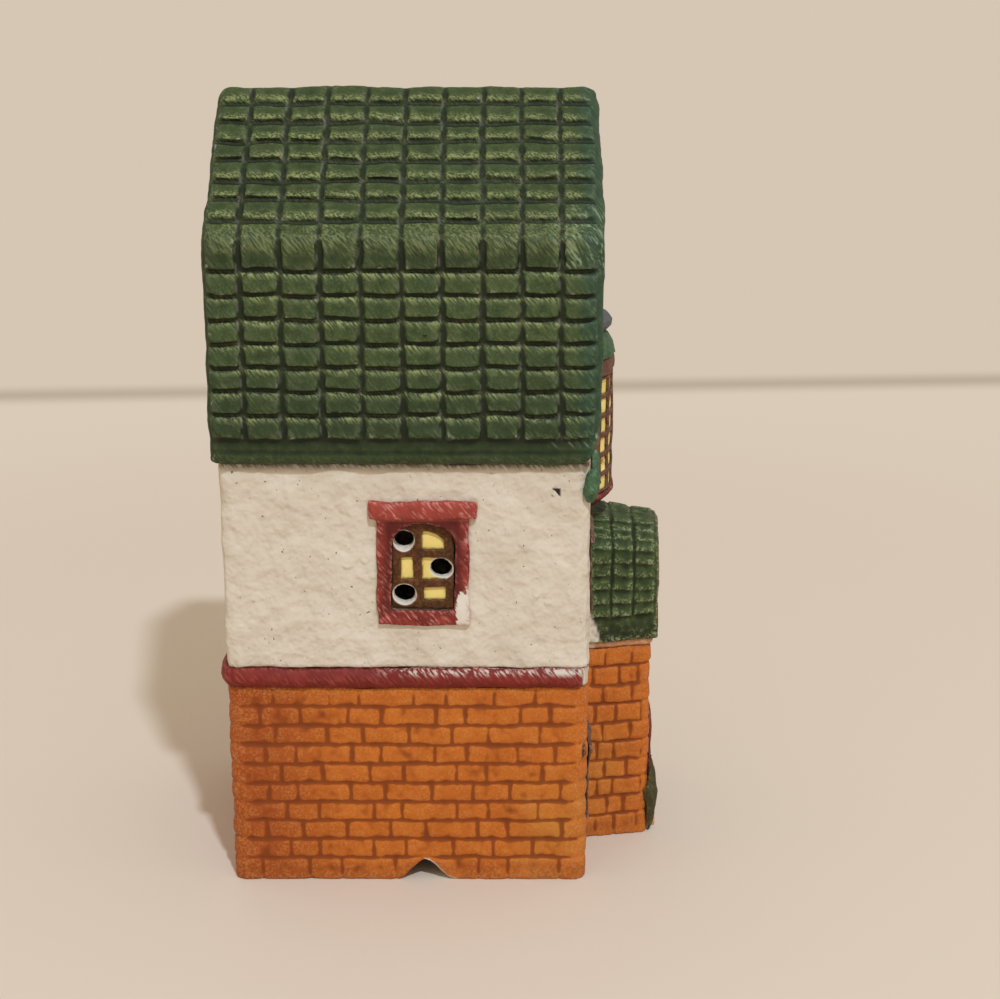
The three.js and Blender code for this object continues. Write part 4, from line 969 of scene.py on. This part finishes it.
# Flesh-coloured acrylic, thinned, on the porch's band and step
PEACH_BAND = painted_bisque(
    "peach_acrylic_on_bisque",
    "#cd9469",
    "#bf8458",
    "#8a5534",
    "#d8b090",
    patch_size=3.0,
    extra=porch_band_colours,
)
# Dark brown acrylic on the door, with its planks' edges rubbed paler
DOOR_BROWN = painted_bisque(
    "dark_brown_acrylic_on_bisque", "#5f3f2a", "#4e3322", "#2e1d13", "#8c6a4c", patch_size=2.0
)
# Blue-green acrylic dabbed on the leaves with the tip of a brush
LEAF_GREEN = painted_bisque(
    "blue_green_acrylic_on_bisque",
    "#4f694a",
    "#42583c",
    "#173524",
    "#6f9a74",
    patch_size=1.5,
    stipple=0.4,
    chips=0.2,
)
# Olive acrylic dabbed on the clipped bushes
OLIVE_BUSH = painted_bisque(
    "olive_acrylic_on_bisque",
    "#4d4526",
    "#423c20",
    "#26271a",
    "#77764e",
    patch_size=1.5,
    stipple=0.4,
    chips=0.2,
)
# Grey acrylic on the bow's cap
GREY_CAP = painted_bisque(
    "grey_acrylic_on_bisque", "#5f5f62", "#525257", "#333338", "#868488", patch_size=2.5
)
# Gold acrylic on the knob, a little shinier than the rest
GOLD_DOT = painted_bisque(
    "gold_acrylic_on_bisque",
    "#c9a24a",
    "#b48c38",
    "#7d5f22",
    "#e6c878",
    patch_size=1.0,
    roughness=0.4,
)

# The storeys and roofs
mould = roof_mould()
cast(
    ROOF,
    0.3,
    GREEN_TILES,
    "roof_paint",
    lumps=0.2,
    swell=0.3,
    smooth=4,
    passes=24,
    within=mould,
    mark=tile_crests,
)
bpy.data.objects.remove(mould)
cast(UPPER, 0.42, CREAM_STUCCO, "stucco_paint", lumps=0.16, swell=0.3, smooth=2)
cast(GROUND, 0.3, BRICK, "brick_paint", lumps=0.2, swell=0.35, smooth=7, passes=64, mark=notch_rim)
cast("string_course", 0.3, RED_BAND, "red_paint", lumps=0.15, swell=0.3, smooth=2)
cast("porch_walls", 0.24, BRICK, "brick_paint", lumps=0.2, swell=0.3, smooth=10, passes=90)
PORCH_TILES = dict(lumps=0.25, swell=0.3, smooth=7, passes=30)
cast("porch_roof", 0.22, GREEN_PORCH_TILES, "roof_paint", **PORCH_TILES)
cast("porch_band", 0.3, PEACH_BAND, "peach_paint", lumps=0.1, swell=0.15)
cast("porch_gable", 0.4, CREAM_STUCCO, "stucco_paint", lumps=0.1, swell=0.15)

# The windows, each with the way to its right as seen from outside, its holes and its fineness
TO_EAST = np.array((1.0, 0.0, 0.0))
TO_NORTH = np.array((0.0, 1.0, 0.0))
SIDE_HOLES = (3.4, THREE_HOLES)
FRONT_HOLES = (2.0, TWO_HOLES)
WINDOWS = (
    ("left_window", -TO_NORTH, SIDE_HOLES, 0.2),
    ("right_window", TO_NORTH, SIDE_HOLES, 0.2),
    ("back_window", -TO_EAST, SIDE_HOLES, 0.2),
    ("front_upper_left_window", TO_EAST, FRONT_HOLES, 0.17),
    ("front_lower_left_window", TO_EAST, FRONT_HOLES, 0.17),
    ("front_upper_right_window", TO_EAST, FRONT_HOLES, 0.17),
    ("front_lower_right_window", TO_EAST, FRONT_HOLES, 0.17),
)
FRONT_WINDOWS = [window for window, to_right, holes, voxel in WINDOWS if holes is FRONT_HOLES]
BOARDS = dict(lumps=0.2, swell=0.3, smooth=14, passes=24)
BARS = dict(lumps=0.2, swell=0, smooth=4)
PANES = dict(lumps=0.05, swell=0.08)
BARS_FINER = 0.7
for window, to_right, holes, voxel in WINDOWS:
    rims = bare_rims(window, to_right, *holes)
    insets = board_insets(window, to_right)
    boards = BROWN_BOARDS if window in FRONT_WINDOWS else STREAKED_RED
    cast(window + "_surround", voxel, boards, "red_paint", mark=insets, **BOARDS)
    cast(window + "_sash", voxel * BARS_FINER, BROWN_BARS, "sash_paint", mark=rims, **BARS)
    cast(window + "_panes", voxel, YELLOW_PANES, "pane_paint", mark=rims, **PANES)

# The bow window
cast("bay_corbel", 0.25, RED_TRIM, "red_paint", lumps=0.1, swell=0.15)
cast("bay_panes", 0.28, YELLOW_PANES, "pane_paint", lumps=0.08, swell=0.1)
cast("bay_sash", 0.16, BOW_BARS, "sash_paint", lumps=0.04, swell=0.0, smooth=1)
cast("bay_frame", 0.25, BOW_BARS, "red_paint", lumps=0.1, swell=0.15)
cast("bay_hood", 0.25, LEAF_GREEN, "leaf_paint", lumps=0.15, swell=0.15)
cast("bay_cap", 0.2, GREY_CAP, "cap_paint", lumps=0.12, swell=0.15, smooth=5)

# The door and what grows by it
cast("door_surround", 0.2, RED_TRIM, "red_paint", lumps=0.08, swell=0.1)
cast("door_leaf", 0.16, DOOR_BROWN, "door_paint", lumps=0.05, swell=0.05, smooth=1)
cast("door_knob", 0.1, GOLD_DOT, "knob_paint", lumps=0.0, swell=0.0)
cast("door_wreath", 0.12, LEAF_GREEN, "leaf_paint", lumps=0.3, swell=0.1)
cast("door_step", 0.25, PEACH_BAND, "peach_paint", lumps=0.1, swell=0.1)
for side in ("left", "right"):
    cast(side + "_bush", 0.22, OLIVE_BUSH, "bush_paint", lumps=0.4, swell=0.3)
    cast(side + "_garland", 0.2, LEAF_GREEN, "leaf_paint", lumps=0.4, swell=0.2)

# The table, with a faint line and a slightly different tone where it meets the wall far behind.
# From HAZE_FROM to HAZE_TO, in metres, it turns into its plain tone for the camera.
FLOOR_SIZE = 8.0
WALL_AT = 316
WALL_TURN = math.radians(-3.8)
HAZE_FROM = 0.15
HAZE_TO = 0.31
bpy.ops.object.select_all(action="DESELECT")
bpy.ops.mesh.primitive_plane_add(size=FLOOR_SIZE, location=(0, 0, 0))
floor = bpy.context.object
floor.name = "table_top"
# A cream laminate table top: plain, dull and a little paler than the wall behind it
table, tree = new_material("off_white_laminate")
place = add(tree, "ShaderNodeTexCoord").outputs["Object"]
askew = add(tree, "ShaderNodeMapping", {"Vector": place, "Rotation": (0, 0, WALL_TURN)}).outputs[0]
along = add(tree, "ShaderNodeSeparateXYZ", {0: askew}).outputs[0]
tone = lay(tree, linear("#dacab8"), "#d6c6b4", between(tree, along, WALL_AT, 1000 * FLOOR_SIZE, 8))
tone = lay(tree, tone, "#aa9b87", between(tree, along, WALL_AT - 7, WALL_AT + 7, 9), 0.7)
away = add(tree, "ShaderNodeVectorMath", {0: place}, operation="LENGTH").outputs["Value"]
far = add(
    tree,
    "ShaderNodeMapRange",
    {"Value": away, "From Min": HAZE_FROM, "From Max": HAZE_TO},
    interpolation_type="SMOOTHSTEP",
).outputs[0]
laminate = add(
    tree, "ShaderNodeBsdfPrincipled", {"Base Color": tone, "Roughness": 0.7, "IOR": 1.45}
)
haze = add(tree, "ShaderNodeEmission", {"Color": tone, "Strength": 1.0})
rays = add(tree, "ShaderNodeLightPath").outputs
seen = rays["Is Camera Ray"]
for ray in ("Is Glossy Ray", "Is Transmission Ray"):
    seen = add(tree, "ShaderNodeMath", {0: seen, 1: rays[ray]}, operation="MAXIMUM").outputs[0]
plain = add(tree, "ShaderNodeMath", {0: far, 1: seen}, operation="MULTIPLY").outputs[0]
mixed = add(tree, "ShaderNodeMixShader", {0: plain, 1: laminate.outputs[0], 2: haze.outputs[0]})
add(tree, "ShaderNodeOutputMaterial", {"Surface": mixed.outputs[0]})
floor.data.materials.append(table)

# One lamp above the camera and a little to the street side, with a soft and even warm fill
key_data = bpy.data.lights.new("key", "AREA")
key_data.shape = "DISK"
key_data.size = 0.08
key_data.energy = 17.0
key_data.color = (0.74, 0.86, 1.0)
key = bpy.data.objects.new("key", key_data)
bpy.context.scene.collection.objects.link(key)
key.location = (-0.94, -0.285, 1.344)
key.rotation_euler = (Vector((0, 0, 0.05)) - key.location).to_track_quat("-Z", "Y").to_euler()

world = bpy.data.worlds.new("room")
bpy.context.scene.world = world
world.use_nodes = True
tree = world.node_tree
tree.nodes.clear()
room = add(tree, "ShaderNodeBackground", {"Color": linear("#fff3e2"), "Strength": 0.65})
wall = add(tree, "ShaderNodeBackground", {"Color": linear("#d6c6b4"), "Strength": 1.0})
seen = add(tree, "ShaderNodeLightPath").outputs["Is Camera Ray"]
mixed = add(tree, "ShaderNodeMixShader", {0: seen, 1: room.outputs[0], 2: wall.outputs[0]})
add(tree, "ShaderNodeOutputWorld", {"Surface": mixed.outputs[0]})

# The camera stands square to the left wall, a little above the roof
CAMERA_FROM_WALL = 302.4
CAMERA_HEIGHT = 160.2
CAMERA_BEHIND_STREET = 14.5
CAMERA_PITCH = 17.15
camera_data = bpy.data.cameras.new("camera")
camera_data.lens = 72.0
camera_data.sensor_width = 36.0
camera = bpy.data.objects.new("camera", camera_data)
bpy.context.scene.collection.objects.link(camera)
camera.location = (
    (LEFT_WALL - CAMERA_FROM_WALL) * MM,
    (STREET_WALL + CAMERA_BEHIND_STREET) * MM,
    CAMERA_HEIGHT * MM,
)
camera.rotation_euler = (math.radians(90 - CAMERA_PITCH), 0, math.radians(-90))
bpy.context.scene.camera = camera
bpy.context.scene.view_settings.view_transform = "Standard"
